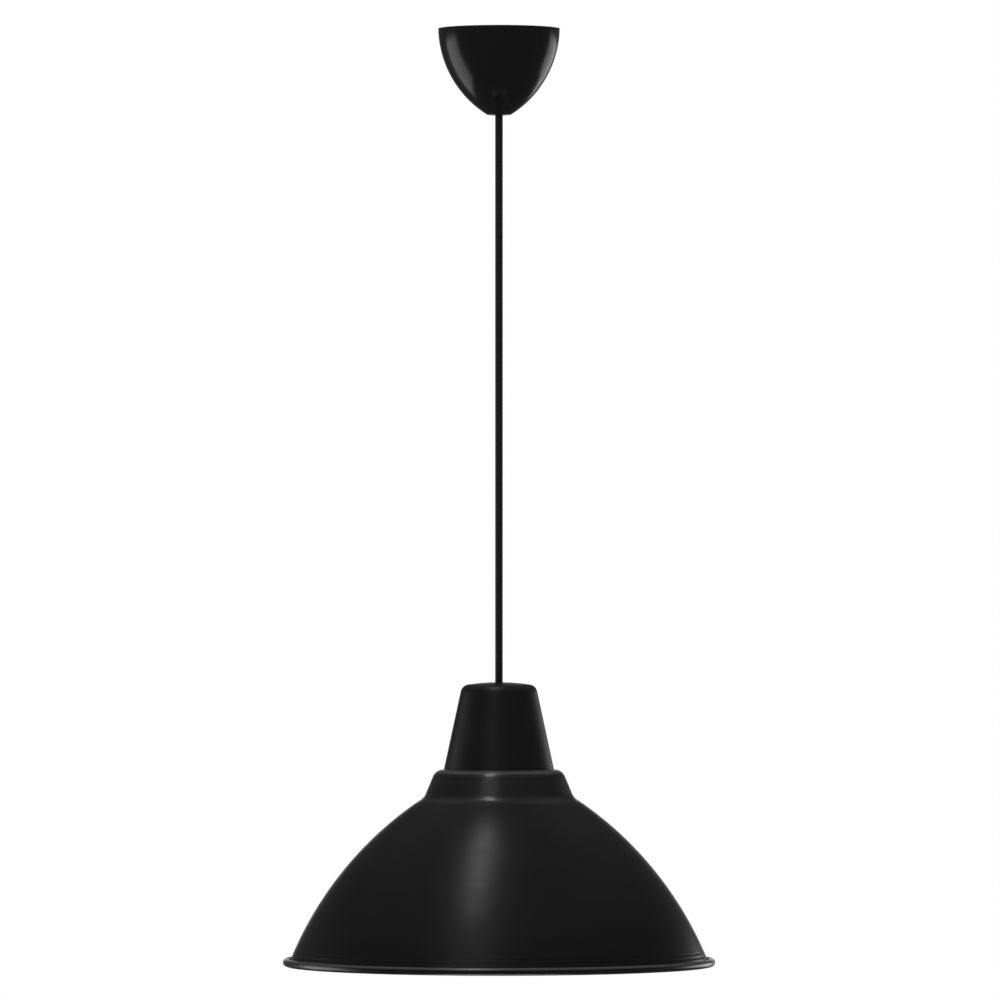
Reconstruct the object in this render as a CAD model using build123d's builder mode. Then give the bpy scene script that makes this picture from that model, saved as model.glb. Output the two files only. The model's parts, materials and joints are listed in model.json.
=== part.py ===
from build123d import *

import os
from math import acos, asin, atan2, cos, degrees, radians, sin, sqrt, tan

# Pendant ceiling light, in millimetres, +Z up, +X to the right seen from the front.
# The origin is on the ceiling in the middle of the bracket, and the lamp hangs down from there.

os.makedirs("parts", exist_ok=True)

# Heights, stacked down from the ceiling
cup_height = 76.0
free_cord_length = 498.5
cover_height = 76.5
shade_height = 172.7

# Clearances
slide_fit = 0.05
ball_fit = 0.10
thread_fit = 0.15
loose_fit = 0.30

# Cord and its two cores
cord_diameter = 6.7
core_diameter = 2.2
core_pitch = 2.5
conductor_diameter = 1.4

# Ceiling cup
cup_rim_radius = 53.5
cup_arc_radius = 91.2
cup_wall = 2.0
cup_mouth_land = 3.0
cup_edge_radius = 0.8
cup_collar_wall = 3.2
cup_collar_rise = 6.5

# Rubber ball that grips the cord in the cup's mouth
grip_radius = 8.0
grip_depth = 4.0
grip_rise = 4.0
grip_foot = 3.6
grip_throat = 1.2
swing_limit = 20.0

# Ceiling bracket
bracket_length = 84.0
bracket_width = 18.0
bracket_thickness = 1.5
bracket_drop = 6.0
bracket_seat_length = 28.0
bracket_step_length = 5.0
bracket_corner_radius = 5.0
slot_spacing = 60.0
slot_length = 12.0
slot_width = 4.5
tab_width = 20.0
tab_length = 26.0
tab_corner_radius = 3.0

# Hook with its nuts
hook_wire_diameter = 4.0
hook_bend_radius = 3.0
hook_bowl_radius = 6.5
hook_thread_end = 0.8
nut_across_flats = 7.0
nut_thickness = 3.2

# Hanger loop and cord clamp
loop_thickness = 5.0
loop_hole_radius = 3.8
loop_wall = 3.5
loop_rest_gap = 0.1
core_window = 10.0
core_lift = 4.5
core_rise = 1.5
core_spread = 2.6
web_width = 12.0
web_thickness = 3.5
web_roof = 4.0
clamp_depth = 16.0
clamp_width = 19.0
clamp_height = 10.0
clamp_split = 0.4
clamp_stand_off = 3.0
clamp_screw_diameter = 3.0
clamp_screw_wall = 1.2
screw_head_radius = 2.8
screw_head_height = 2.0
sheath_end = 2.0

# Two-pole terminal block
pole_spacing = 10.0
pole_wall = 2.2
block_length = 18.0
block_height = 13.0
block_gap = 4.0
sleeve_radius = 2.9
sleeve_bore_radius = 1.7
sleeve_length = 14.0
sleeve_stop = 1.0
block_screw_radius = 1.5
block_screw_spacing = 9.0
block_screw_recess = 1.5
fixing_screw_radius = 1.5
fixing_head_recess = 3.0
fixing_screw_end = 1.2

# Cover over the lampholder
cover_top_radius = 31.9
cover_base_radius = 48.4
cover_wall = 2.0
cover_crown_radius = 190.0
cover_edge_radius = 8.0
cover_hole_gap = 0.4

# Shade
shade_radius = 190.0
shade_wall = 1.0
neck_radius = 55.5
neck_angle = 22.65
neck_depth = 24.6
shoulder_radius = 10.0
waist_radius = 12.0
dome_radius = 310.7
bead_radius = 3.4
bead_turn = 295.0
shade_hole_gap = 0.6

# Lampholder
flange_radius = 24.0
flange_thickness = 3.0
skirt_radius = 19.7
skirt_length = 32.0
skirt_wall = 3.2
ledge_thickness = 3.0
ledge_lap = 1.35
cap_radius = 23.0
cap_height = 46.0
cap_straight = 14.0
cap_neck_radius = 9.5
cap_wall = 2.5
cap_thread_length = 8.0
cap_thread_wall = 2.8
contact_block_height = 11.0
collar_radius = 6.0
collar_height = 8.0
collar_screw_radius = 1.25
sheath_tail = 3.0
post_offset = 9.0
post_radius = 3.2
post_height = 7.0
post_screw_radius = 1.25
post_screw_head_radius = 2.2
post_screw_head_height = 1.5
post_wire_depth = 5.0
lead_drop = 3.5
lead_lift = 4.5
shell_bore_radius = 13.55
shell_wall = 0.4
shell_length = 27.0
shell_rim = 3.0
leaf_thickness = 0.5
leaf_width = 5.0
leaf_drop = 5.4
leaf_foot = 8.0
leaf_slope = 6.0
leaf_pad = 6.0
leaf_gap = 0.1

# Ring nut under the shade
ring_radius = 28.0
ring_height = 8.0
ring_notches = 12
ring_notch_radius = 3.0
ring_notch_depth = 1.6

# Bulb
tip_radius = 4.4
tip_height = 3.0
insulator_radius = 6.0
insulator_set_back = 1.0
insulator_height = 3.0
bulb_cap_radius = 13.15
bulb_cap_wall = 0.5
bulb_cap_rim = 2.5
bulb_cap_length = 23.0
spigot_length = 12.0
housing_neck_radius = 14.3
housing_edge_radius = 27.0
housing_length = 39.0
housing_wall = 1.8
housing_arc_radius = 95.0
globe_radius = 30.0
globe_wall = 1.2
board_radius = 22.0
board_thickness = 1.6

# Levels and radii that follow from the sizes above
mouth_z = -cup_height
cover_top_z = mouth_z - free_cord_length
plateau_z = cover_top_z - cover_height
rim_z = plateau_z - shade_height
pivot_z = mouth_z + grip_depth

cord_radius = cord_diameter / 2
core_radius = core_diameter / 2
core_x = core_pitch / 2
conductor_radius = conductor_diameter / 2
cord_bore_radius = cord_radius + slide_fit


def polar(centre, radius, angle):
    """Point at an angle in degrees on a circle."""
    return Vector(*centre) + Vector(radius, 0).rotate(Axis.Z, angle)


def heading(start, end):
    """Angle in degrees of the way from start to end."""
    way = Vector(*end) - Vector(*start)
    return degrees(atan2(way.Y, way.X))


def arc_centre(start, end, radius):
    """Centre of the arc with that radius, to the right of the way from start to end."""
    half = (Vector(*end) - Vector(*start)) / 2
    aside = Vector(half.Y, -half.X).normalized() * sqrt(radius**2 - half.length**2)
    return Vector(*start) + half + aside


def strip_outline(points, thickness):
    """Outline of a bent strip: a line, and the same line moved to its right and mitred."""
    line = [Vector(*point) for point in points]
    steps = [(end - start).normalized() for start, end in zip(line, line[1:])]
    normals = [Vector(step.Y, -step.X) for step in steps]
    pairs = zip(line, normals[:1] + normals, normals + normals[-1:])
    moved = [point + (m + n) * (thickness / (1 + m.dot(n))) for point, m, n in pairs]
    return line + moved[::-1]


def sway_radius(height, gap):
    """Radius that clears the leaning cord, at a height above or below the pivot."""
    lean = radians(swing_limit)
    return cord_radius / cos(lean) + abs(height) * tan(lean) + gap


def bend_radii(points):
    """Largest fair radius at each corner of a route: 0.45 of the shorter run over the half turn's tangent."""
    route = [Vector(*point) for point in points]
    runs = [end - start for start, end in zip(route, route[1:])]
    return [
        0.45 * min(before.length, after.length) / tan(radians(before.get_angle(after) / 2))
        for before, after in zip(runs, runs[1:])
    ]


# Ceiling cup: a bullet-shaped shell, with a collar around the socket of the ball grip
seat_radius = grip_radius + ball_fit
mouth_radius = sqrt(seat_radius**2 - grip_depth**2) + cup_mouth_land
cup_centre = arc_centre((cup_rim_radius, 0), (mouth_radius, mouth_z), cup_arc_radius)
cup_inner_radius = cup_arc_radius - cup_wall
cup_collar_radius = seat_radius + cup_collar_wall
cup_collar_top_z = pivot_z + cup_collar_rise
rim_angle = heading(cup_centre, (cup_rim_radius, 0))
mouth_angle = heading(cup_centre, (mouth_radius, mouth_z))
inner_rim_angle = -degrees(asin(cup_centre.Y / cup_inner_radius))
inner_collar_angle = -degrees(acos((cup_collar_radius - cup_centre.X) / cup_inner_radius))

with BuildPart() as ceiling_cup:
    with BuildSketch(Plane.XZ):
        with BuildLine():
            CenterArc(cup_centre, cup_arc_radius, rim_angle, mouth_angle - rim_angle)
            Polyline(
                (mouth_radius, mouth_z),
                (0, mouth_z),
                (0, cup_collar_top_z),
                (cup_collar_radius, cup_collar_top_z),
                polar(cup_centre, cup_inner_radius, inner_collar_angle),
            )
            CenterArc(cup_centre, cup_inner_radius, inner_collar_angle, inner_rim_angle - inner_collar_angle)
            Line(polar(cup_centre, cup_inner_radius, inner_rim_angle), (cup_rim_radius, 0))
        make_face()
    revolve(axis=Axis.Z)
    with Locations((0, 0, pivot_z)):
        Sphere(seat_radius, mode=Mode.SUBTRACT)
        Cone(
            sway_radius(0, loose_fit),
            sway_radius(cup_collar_rise, loose_fit),
            cup_collar_rise,
            align=(Align.CENTER, Align.CENTER, Align.MIN),
            mode=Mode.SUBTRACT,
        )
    rings = ceiling_cup.edges().filter_by(GeomType.CIRCLE)
    mouth_edge = rings.group_by(Axis.Z)[0].sort_by(SortBy.RADIUS)[-1]
    fillet(mouth_edge, cup_edge_radius)

# Ball grip: holds the cord below the pivot, and opens above it so that the cord can lean
with BuildPart() as cord_grip:
    with BuildSketch(Plane.XZ):
        foot_angle = -degrees(asin(grip_foot / grip_radius))
        top_angle = degrees(asin(grip_rise / grip_radius))
        with BuildLine():
            CenterArc((0, pivot_z), grip_radius, foot_angle, top_angle - foot_angle)
            Polyline(
                polar((0, pivot_z), grip_radius, top_angle),
                (sway_radius(grip_rise, ball_fit), pivot_z + grip_rise),
                (sway_radius(0, ball_fit), pivot_z),
                (sway_radius(0, ball_fit), pivot_z - grip_throat),
                (cord_bore_radius, pivot_z - grip_throat),
                (cord_bore_radius, pivot_z - grip_foot),
                polar((0, pivot_z), grip_radius, foot_angle),
            )
        make_face()
    revolve(axis=Axis.Z)

# Ceiling bracket: a steel strip, flat on the ceiling at its ends and stepped down in the middle
seat_z = -bracket_drop
seat_under_z = seat_z - bracket_thickness
half_seat = bracket_seat_length / 2
half_step = half_seat + bracket_step_length
half_bracket = bracket_length / 2
tab_end_y = bracket_width / 2 + tab_length
block_start_y = bracket_width / 2 + block_gap
block_middle_y = block_start_y + block_length / 2
hook_wire_radius = hook_wire_diameter / 2

with BuildPart() as ceiling_bracket:
    with BuildSketch(Plane.XZ):
        with BuildLine():
            outline = strip_outline(
                [
                    (-half_bracket, 0),
                    (-half_step, 0),
                    (-half_seat, seat_z),
                    (half_seat, seat_z),
                    (half_step, 0),
                    (half_bracket, 0),
                ],
                bracket_thickness,
            )
            Polyline(*outline, close=True)
        make_face()
    extrude(amount=bracket_width / 2, both=True)
    corners = ceiling_bracket.edges().filter_by(Axis.Z)
    fillet(corners.group_by(Axis.X)[0] + corners.group_by(Axis.X)[-1], bracket_corner_radius)
    with BuildSketch(Plane.XY.offset(seat_under_z)):
        with Locations((0, tab_end_y / 2)):
            Rectangle(tab_width, tab_end_y)
    extrude(amount=bracket_thickness)
    tab_corners = ceiling_bracket.edges().filter_by(Axis.Z).group_by(Axis.Y)[-1]
    fillet(tab_corners, tab_corner_radius)
    with BuildSketch(Plane.XY):
        with GridLocations(slot_spacing, 0, 2, 1):
            SlotOverall(slot_length, slot_width)
    extrude(amount=-bracket_thickness, mode=Mode.SUBTRACT)
    with Locations((0, 0, seat_z)):
        Hole(hook_wire_radius + slide_fit, bracket_thickness)
    with Locations((0, block_middle_y, seat_z)):
        Hole(fixing_screw_radius + slide_fit, bracket_thickness)

# Hook and hanger, worked out upwards from the cup's collar
clamp_bottom_z = cup_collar_top_z + clamp_stand_off
clamp_top_z = clamp_bottom_z + clamp_height
clamp_middle_z = clamp_bottom_z + clamp_height / 2
cord_end_z = clamp_top_z + sheath_end
window_top_z = clamp_top_z + core_window
loop_outer_radius = loop_hole_radius + loop_wall
loop_z = window_top_z + loop_outer_radius
half_loop = loop_thickness / 2
bowl_inner_radius = hook_bowl_radius - hook_wire_radius
bowl_z = loop_z + loop_hole_radius - loop_rest_gap + sqrt(bowl_inner_radius**2 - half_loop**2)
hook_turn = degrees(acos(hook_bend_radius / (hook_bend_radius + hook_bowl_radius)))
hook_bend_z = bowl_z + (hook_bend_radius + hook_bowl_radius) * sin(radians(hook_turn))
shank_top_z = seat_z + nut_thickness + hook_thread_end

with BuildPart() as ceiling_hook:
    with BuildLine(Plane.XZ) as hook_line:
        Line((0, shank_top_z), (0, hook_bend_z))
        CenterArc((hook_bend_radius, hook_bend_z), hook_bend_radius, 180, hook_turn)
        CenterArc((0, bowl_z), hook_bowl_radius, hook_turn, -180 - hook_turn)
    with BuildSketch(Plane.XY.offset(shank_top_z)):
        Circle(hook_wire_radius)
    sweep()

with BuildPart() as hook_nuts:
    for nut_z in (seat_z, seat_under_z - nut_thickness):
        with BuildSketch(Plane.XY.offset(nut_z)):
            RegularPolygon(nut_across_flats / 2, 6, major_radius=False)
            Circle(hook_wire_radius + slide_fit, mode=Mode.SUBTRACT)
        extrude(amount=nut_thickness)

clamp_screw_y = cord_radius + clamp_screw_wall + clamp_screw_diameter / 2
half_clamp = clamp_depth / 2
screw_spots = [(clamp_screw_y, clamp_middle_z), (-clamp_screw_y, clamp_middle_z)]
clamp_screw_radius = clamp_screw_diameter / 2
web_inner_x = web_thickness - half_clamp


def clamp_half(near, far):
    """Half of the cord clamp between two places along X, bored for the cord and its two screws."""
    with BuildPart() as half:
        with BuildSketch(Plane.XY.offset(clamp_bottom_z)):
            with Locations(((near + far) / 2, 0)):
                Rectangle(abs(far - near), clamp_width)
            Circle(cord_bore_radius, mode=Mode.SUBTRACT)
        extrude(amount=clamp_height)
        with BuildSketch(Plane.YZ):
            with Locations(*screw_spots):
                Circle(clamp_screw_radius + slide_fit)
        extrude(amount=half_clamp, both=True, mode=Mode.SUBTRACT)
    return half


hanger_half = clamp_half(-half_clamp, -clamp_split / 2)
hanger_clamp = clamp_half(clamp_split / 2, half_clamp)

with BuildPart() as cord_hanger:
    add(hanger_half.part)
    with BuildSketch(Plane.XZ):
        with BuildLine():
            Polyline(
                (-half_clamp, clamp_top_z),
                (web_inner_x, clamp_top_z),
                (web_inner_x, window_top_z),
                (half_loop, window_top_z),
                (half_loop, loop_z),
                (-half_loop, loop_z),
                (-half_loop, window_top_z + web_roof),
                (-half_clamp, window_top_z + web_roof),
                close=True,
            )
        make_face()
    extrude(amount=web_width / 2, both=True)
    with BuildSketch(Plane.YZ):
        with Locations((0, loop_z)):
            Circle(loop_outer_radius)
    extrude(amount=half_loop, both=True)
    with BuildSketch(Plane.YZ):
        with Locations((0, loop_z)):
            Circle(loop_hole_radius)
    extrude(amount=half_loop, both=True, mode=Mode.SUBTRACT)

with BuildPart() as hanger_screws:
    with BuildSketch(Plane.YZ.offset(-half_clamp)):
        with Locations(*screw_spots):
            Circle(clamp_screw_radius)
    extrude(amount=clamp_depth)
    with BuildSketch(Plane.YZ.offset(half_clamp)):
        with Locations(*screw_spots):
            Circle(screw_head_radius)
    extrude(amount=screw_head_height)
    head_rims = hanger_screws.edges().filter_by(GeomType.CIRCLE).group_by(Axis.X)[-1]
    fillet(head_rims, screw_head_height / 3)

# Sheathed cord above the pivot, hollowed at its lower end around the round end of the cord below
socket_radius = cord_radius + ball_fit
socket_angle = degrees(acos(cord_radius / socket_radius))

with BuildPart() as upper_cord:
    with BuildSketch(Plane.XZ):
        with BuildLine():
            CenterArc((0, pivot_z), socket_radius, socket_angle, 90 - socket_angle)
            Polyline(
                (0, pivot_z + socket_radius),
                (0, cord_end_z),
                (cord_radius, cord_end_z),
                polar((0, pivot_z), socket_radius, socket_angle),
            )
        make_face()
    revolve(axis=Axis.Z)

# Terminal block under the bracket's tab, with its sleeves and screws
half_pole = pole_spacing / 2
block_width = pole_spacing + 2 * (sleeve_radius + pole_wall)
pole_z = seat_under_z - pole_wall - sleeve_radius
block_under_z = seat_under_z - block_height
sleeve_start_y = block_middle_y - sleeve_length / 2
sleeve_end_y = block_middle_y + sleeve_length / 2
sleeve_bore_depth = (sleeve_length - sleeve_stop) / 2
pole_spots = [(-half_pole, pole_z), (half_pole, pole_z)]

with BuildPart() as terminal_block:
    with BuildSketch(Plane.XY.offset(block_under_z)):
        with Locations((0, block_middle_y)):
            Rectangle(block_width, block_length)
    extrude(amount=block_height)
    with BuildSketch(Plane.XZ.offset(-block_start_y)):
        with Locations(*pole_spots):
            Circle(sleeve_radius + slide_fit)
    extrude(amount=-block_length, mode=Mode.SUBTRACT)
    with BuildSketch(Plane.XY.offset(block_under_z)):
        with Locations((0, block_middle_y)):
            with GridLocations(pole_spacing, block_screw_spacing, 2, 2):
                Circle(block_screw_radius + slide_fit)
    extrude(amount=pole_z - block_under_z, mode=Mode.SUBTRACT)
    with BuildSketch(Plane.XY.offset(block_under_z)):
        with Locations((0, block_middle_y)):
            Circle(fixing_screw_radius + slide_fit)
    extrude(amount=block_height, mode=Mode.SUBTRACT)
    with BuildSketch(Plane.XY.offset(block_under_z)):
        with Locations((0, block_middle_y)):
            Circle(screw_head_radius + loose_fit)
    extrude(amount=fixing_head_recess, mode=Mode.SUBTRACT)

with BuildPart() as terminal_sleeves:
    with BuildSketch(Plane.XZ.offset(-sleeve_start_y)):
        with Locations(*pole_spots):
            Circle(sleeve_radius)
    extrude(amount=-sleeve_length)
    with BuildSketch(Plane.XZ.offset(-sleeve_start_y)):
        with Locations(*pole_spots):
            Circle(sleeve_bore_radius)
    extrude(amount=-sleeve_bore_depth, mode=Mode.SUBTRACT)
    with BuildSketch(Plane.XZ.offset(-sleeve_end_y)):
        with Locations(*pole_spots):
            Circle(sleeve_bore_radius)
    extrude(amount=sleeve_bore_depth, mode=Mode.SUBTRACT)
    with BuildSketch(Plane.XY.offset(block_under_z)):
        with Locations((0, block_middle_y)):
            with GridLocations(pole_spacing, block_screw_spacing, 2, 2):
                Circle(block_screw_radius + slide_fit)
    extrude(amount=pole_z - block_under_z, mode=Mode.SUBTRACT)

# The near screws are tight on the lamp's cores, and the far ones stand open for the house wires
tight_tip_z = pole_z - conductor_radius - slide_fit
open_tip_z = pole_z - sleeve_bore_radius - slide_fit
block_screw_length = tight_tip_z - block_under_z - block_screw_recess

with BuildPart() as terminal_screws:
    for tip_z, row_y in ((tight_tip_z, -block_screw_spacing / 2), (open_tip_z, block_screw_spacing / 2)):
        with BuildSketch(Plane.XY.offset(tip_z)):
            with Locations((0, block_middle_y + row_y)):
                with GridLocations(pole_spacing, 0, 2, 1):
                    Circle(block_screw_radius)
        extrude(amount=-block_screw_length)

head_seat_z = block_under_z + fixing_head_recess

with BuildPart() as terminal_fixing_screw:
    with BuildSketch(Plane.XY.offset(head_seat_z - screw_head_height)):
        with Locations((0, block_middle_y)):
            Circle(screw_head_radius)
    extrude(amount=screw_head_height)
    with BuildSketch(Plane.XY.offset(head_seat_z)):
        with Locations((0, block_middle_y)):
            Circle(fixing_screw_radius)
    extrude(amount=seat_z + fixing_screw_end - head_seat_z)

# Cores from the cord's upper end to the near side of the terminal block
wire_out_y = block_start_y - core_diameter - loose_fit
wire_low_z = cord_end_z + core_lift


def wire(route, bare_length):
    """Insulated core along a route of runs and arcs, with its bare conductor going straight on."""
    with BuildPart() as core:
        with BuildLine() as way:
            FilletPolyline(*route, radius=bend_radii(route))
        with BuildSketch(Plane(origin=way.line @ 0, z_dir=way.line % 0)):
            Circle(core_radius)
        sweep()
        with BuildSketch(Plane(origin=way.line @ 1, z_dir=way.line % 1)):
            Circle(conductor_radius)
        extrude(amount=bare_length)
    return core


def upper_route(side):
    """Route of an upper core: out of the sheath, aside, up beside the hook and into its pole."""
    return [
        (side * core_x, 0, cord_end_z),
        (side * core_x, 0, wire_low_z),
        (side * core_spread, wire_out_y, wire_low_z + core_rise),
        (side * half_pole, wire_out_y, pole_z),
        (side * half_pole, sleeve_start_y, pole_z),
    ]


bare_length = sleeve_bore_depth - slide_fit
live_wire = wire(upper_route(-1), bare_length)
neutral_wire = wire(upper_route(1), bare_length)

# Shade: one spun sheet, from the hole in its flat top to the rim rolled outwards
neck_way = Vector(sin(radians(neck_angle)), -cos(radians(neck_angle)))
neck_out = Vector(cos(radians(neck_angle)), sin(radians(neck_angle)))
neck_corner = Vector(neck_radius, plateau_z)
waist_corner = Vector(neck_radius + neck_depth * tan(radians(neck_angle)), plateau_z - neck_depth)
bead_centre = Vector(shade_radius - bead_radius, rim_z + bead_radius)
shade_hole_radius = skirt_radius + shade_hole_gap

shoulder_run = shoulder_radius * (1 - sin(radians(neck_angle))) / cos(radians(neck_angle))
shoulder_centre = Vector(neck_radius - shoulder_run, plateau_z - shoulder_radius)

# The dome's centre is one dome radius from the waist, and clears the bead's inner skin by the same circle
bead_reach = dome_radius + bead_radius - shade_wall
waist_to_bead = bead_centre - waist_corner
waist_angle = acos(
    (dome_radius**2 + waist_to_bead.length**2 - bead_reach**2) / (2 * dome_radius * waist_to_bead.length)
)
dome_way = waist_to_bead.normalized().rotate(Axis.Z, -degrees(waist_angle))
dome_centre = waist_corner + dome_way * dome_radius

# The waist's arc touches the neck's slope and the dome from outside
waist_start = neck_corner + neck_out * waist_radius - dome_centre
along = waist_start.dot(neck_way)
waist_slide = -along - sqrt(along**2 - waist_start.length**2 + (dome_radius + waist_radius) ** 2)
waist_centre = neck_corner + neck_out * waist_radius + neck_way * waist_slide
waist_end_angle = heading(waist_centre, dome_centre) % 360
dome_start_angle = heading(dome_centre, waist_centre)
dome_end_angle = heading(dome_centre, bead_centre)


def skin(depth):
    """One side of the sheet, at a depth below its outer skin, as arcs about the same centres."""
    Line((shade_hole_radius, plateau_z - depth), (shoulder_centre.X, plateau_z - depth))
    CenterArc(shoulder_centre, shoulder_radius - depth, 90, neck_angle - 90)
    Line(
        polar(shoulder_centre, shoulder_radius - depth, neck_angle),
        polar(waist_centre, waist_radius + depth, neck_angle + 180),
    )
    CenterArc(waist_centre, waist_radius + depth, neck_angle + 180, waist_end_angle - neck_angle - 180)
    CenterArc(dome_centre, dome_radius - depth, dome_start_angle, dome_end_angle - dome_start_angle)
    CenterArc(bead_centre, bead_radius - shade_wall + depth, dome_end_angle + 180, bead_turn)


with BuildPart() as shade:
    with BuildSketch(Plane.XZ):
        with BuildLine():
            skin(0)
            skin(shade_wall)
            Line((shade_hole_radius, plateau_z), (shade_hole_radius, plateau_z - shade_wall))
            bead_end_angle = dome_end_angle + 180 + bead_turn
            Line(
                polar(bead_centre, bead_radius - shade_wall, bead_end_angle),
                polar(bead_centre, bead_radius, bead_end_angle),
            )
        make_face()
    revolve(axis=Axis.Z)

# Cover: a cone shell with a crowned top, standing on the shade around the lampholder
cover_hole_radius = cord_radius + cover_hole_gap
cover_base = Vector(cover_base_radius, plateau_z)
cover_way = (Vector(cover_top_radius, cover_top_z) - cover_base).normalized()
cover_out = Vector(cover_way.Y, -cover_way.X)
cover_angle = degrees(asin(cover_out.Y))
crown_centre = Vector(0, cover_top_z - cover_crown_radius)

# The edge's arc touches the cone's slope and the crown from inside
edge_start = cover_base - cover_out * cover_edge_radius - crown_centre
edge_along = edge_start.dot(cover_way)
edge_reach = cover_crown_radius - cover_edge_radius
edge_slide = sqrt(edge_along**2 - edge_start.length**2 + edge_reach**2) - edge_along
edge_centre = crown_centre + edge_start + cover_way * edge_slide
edge_angle = heading(crown_centre, edge_centre)


def cover_corners(depth):
    """Where one side of the cover's wall meets the cord's hole and the shade."""
    hole_angle = degrees(acos(cover_hole_radius / (cover_crown_radius - depth)))
    foot = (cover_base_radius - depth / cover_out.X, plateau_z)
    return polar(crown_centre, cover_crown_radius - depth, hole_angle), foot


def cover_skin(depth):
    """One side of the cover's wall, at a depth below its outer side, as arcs about the same centres."""
    hole, foot = cover_corners(depth)
    hole_angle = heading(crown_centre, hole)
    CenterArc(crown_centre, cover_crown_radius - depth, hole_angle, edge_angle - hole_angle)
    CenterArc(edge_centre, cover_edge_radius - depth, edge_angle, cover_angle - edge_angle)
    Line(polar(edge_centre, cover_edge_radius - depth, cover_angle), foot)


with BuildPart() as lampholder_cover:
    with BuildSketch(Plane.XZ):
        with BuildLine():
            cover_skin(0)
            cover_skin(cover_wall)
            for outer, inner in zip(cover_corners(0), cover_corners(cover_wall)):
                Line(outer, inner)
        make_face()
    revolve(axis=Axis.Z)

# Lampholder body: the flange stands on the shade, and the threaded skirt hangs through its hole
flange_top_z = plateau_z + flange_thickness
cap_bore_radius = cap_radius - cap_wall
cap_thread_radius = cap_bore_radius - thread_fit
body_bore_radius = cap_thread_radius - cap_thread_wall
ledge_under_z = plateau_z - ledge_thickness
shell_radius = shell_bore_radius + shell_wall
ledge_hole_radius = shell_radius - ledge_lap
skirt_under_z = plateau_z - skirt_length

with BuildPart() as lampholder_body:
    with BuildSketch(Plane.XZ):
        with BuildLine():
            Polyline(
                (body_bore_radius, flange_top_z + cap_thread_length),
                (cap_thread_radius, flange_top_z + cap_thread_length),
                (cap_thread_radius, flange_top_z),
                (flange_radius, flange_top_z),
                (flange_radius, plateau_z),
                (skirt_radius, plateau_z),
                (skirt_radius, skirt_under_z),
                (skirt_radius - skirt_wall, skirt_under_z),
                (skirt_radius - skirt_wall, ledge_under_z),
                (ledge_hole_radius, ledge_under_z),
                (ledge_hole_radius, plateau_z),
                (body_bore_radius, plateau_z),
                close=True,
            )
        make_face()
    revolve(axis=Axis.Z)

# Lampholder cap: screwed on the body's collar, resting on the cord's collar under its neck
cap_top_z = flange_top_z + cap_height
cap_straight_z = flange_top_z + cap_straight
cap_roof_z = cap_top_z - cap_wall

with BuildPart() as lampholder_cap:
    with BuildSketch(Plane.XZ):
        with BuildLine():
            Polyline(
                (cap_bore_radius, flange_top_z),
                (cap_radius, flange_top_z),
                (cap_radius, cap_straight_z),
                (cap_neck_radius, cap_top_z),
                (cord_bore_radius, cap_top_z),
                (cord_bore_radius, cap_roof_z),
                (cap_neck_radius - cap_wall, cap_roof_z),
                (cap_bore_radius, cap_straight_z - cap_wall),
                close=True,
            )
        make_face()
    revolve(axis=Axis.Z)

# Strain relief: a collar on the cord under the cap's neck, locked by a screw
collar_under_z = cap_roof_z - collar_height
collar_middle_z = cap_roof_z - collar_height / 2
cord_tail_z = collar_under_z - sheath_tail

with BuildPart() as cord_collar:
    with BuildSketch(Plane.XY.offset(collar_under_z)):
        Circle(collar_radius)
        Circle(cord_bore_radius, mode=Mode.SUBTRACT)
    extrude(amount=collar_height)
    with BuildSketch(Plane.YZ):
        with Locations((0, collar_middle_z)):
            Circle(collar_screw_radius + slide_fit)
    extrude(amount=collar_radius, mode=Mode.SUBTRACT)

with BuildPart() as collar_screw:
    with BuildSketch(Plane.YZ.offset(cord_bore_radius)):
        with Locations((0, collar_middle_z)):
            Circle(collar_screw_radius)
    extrude(amount=collar_radius - cord_bore_radius)

# Cord from the pivot to the lampholder, round at its upper end
with BuildPart() as pendant_cord:
    with BuildSketch(Plane.XZ):
        with BuildLine():
            CenterArc((0, pivot_z), cord_radius, 0, 90)
            Polyline(
                (0, pivot_z + cord_radius),
                (0, cord_tail_z),
                (cord_radius, cord_tail_z),
                (cord_radius, pivot_z),
            )
        make_face()
    revolve(axis=Axis.Z)

# Ceramic contact block on the body's ledge, with its posts, screws and leads
contact_block_top_z = plateau_z + contact_block_height
post_top_z = contact_block_top_z + post_height
post_middle_z = contact_block_top_z + post_height / 2
post_spots = [(-post_offset, 0), (post_offset, 0)]

with BuildPart() as contact_block:
    with BuildSketch(Plane.XY.offset(plateau_z)):
        Circle(body_bore_radius - loose_fit)
    extrude(amount=contact_block_height)
    block_rims = contact_block.edges().filter_by(GeomType.CIRCLE)
    chamfer(block_rims.group_by(Axis.Z)[-1], loose_fit)

with BuildPart() as holder_terminals:
    with BuildSketch(Plane.XY.offset(contact_block_top_z)):
        with Locations(*post_spots):
            Circle(post_radius)
    extrude(amount=post_height)
    with BuildSketch(Plane.XY.offset(post_top_z)):
        with Locations(*post_spots):
            Circle(conductor_radius + slide_fit)
    extrude(amount=-post_wire_depth, mode=Mode.SUBTRACT)
    with BuildSketch(Plane.XZ):
        with Locations(*[(x, post_middle_z) for x, y in post_spots]):
            Circle(post_screw_radius + slide_fit)
    extrude(amount=post_radius, mode=Mode.SUBTRACT)

with BuildPart() as holder_terminal_screws:
    with BuildSketch(Plane.XZ.offset(conductor_radius + 2 * slide_fit)):
        with Locations(*[(x, post_middle_z) for x, y in post_spots]):
            Circle(post_screw_radius)
    extrude(amount=post_radius - conductor_radius - 2 * slide_fit)
    with BuildSketch(Plane.XZ.offset(post_radius)):
        with Locations(*[(x, post_middle_z) for x, y in post_spots]):
            Circle(post_screw_head_radius)
    extrude(amount=post_screw_head_height)


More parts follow.
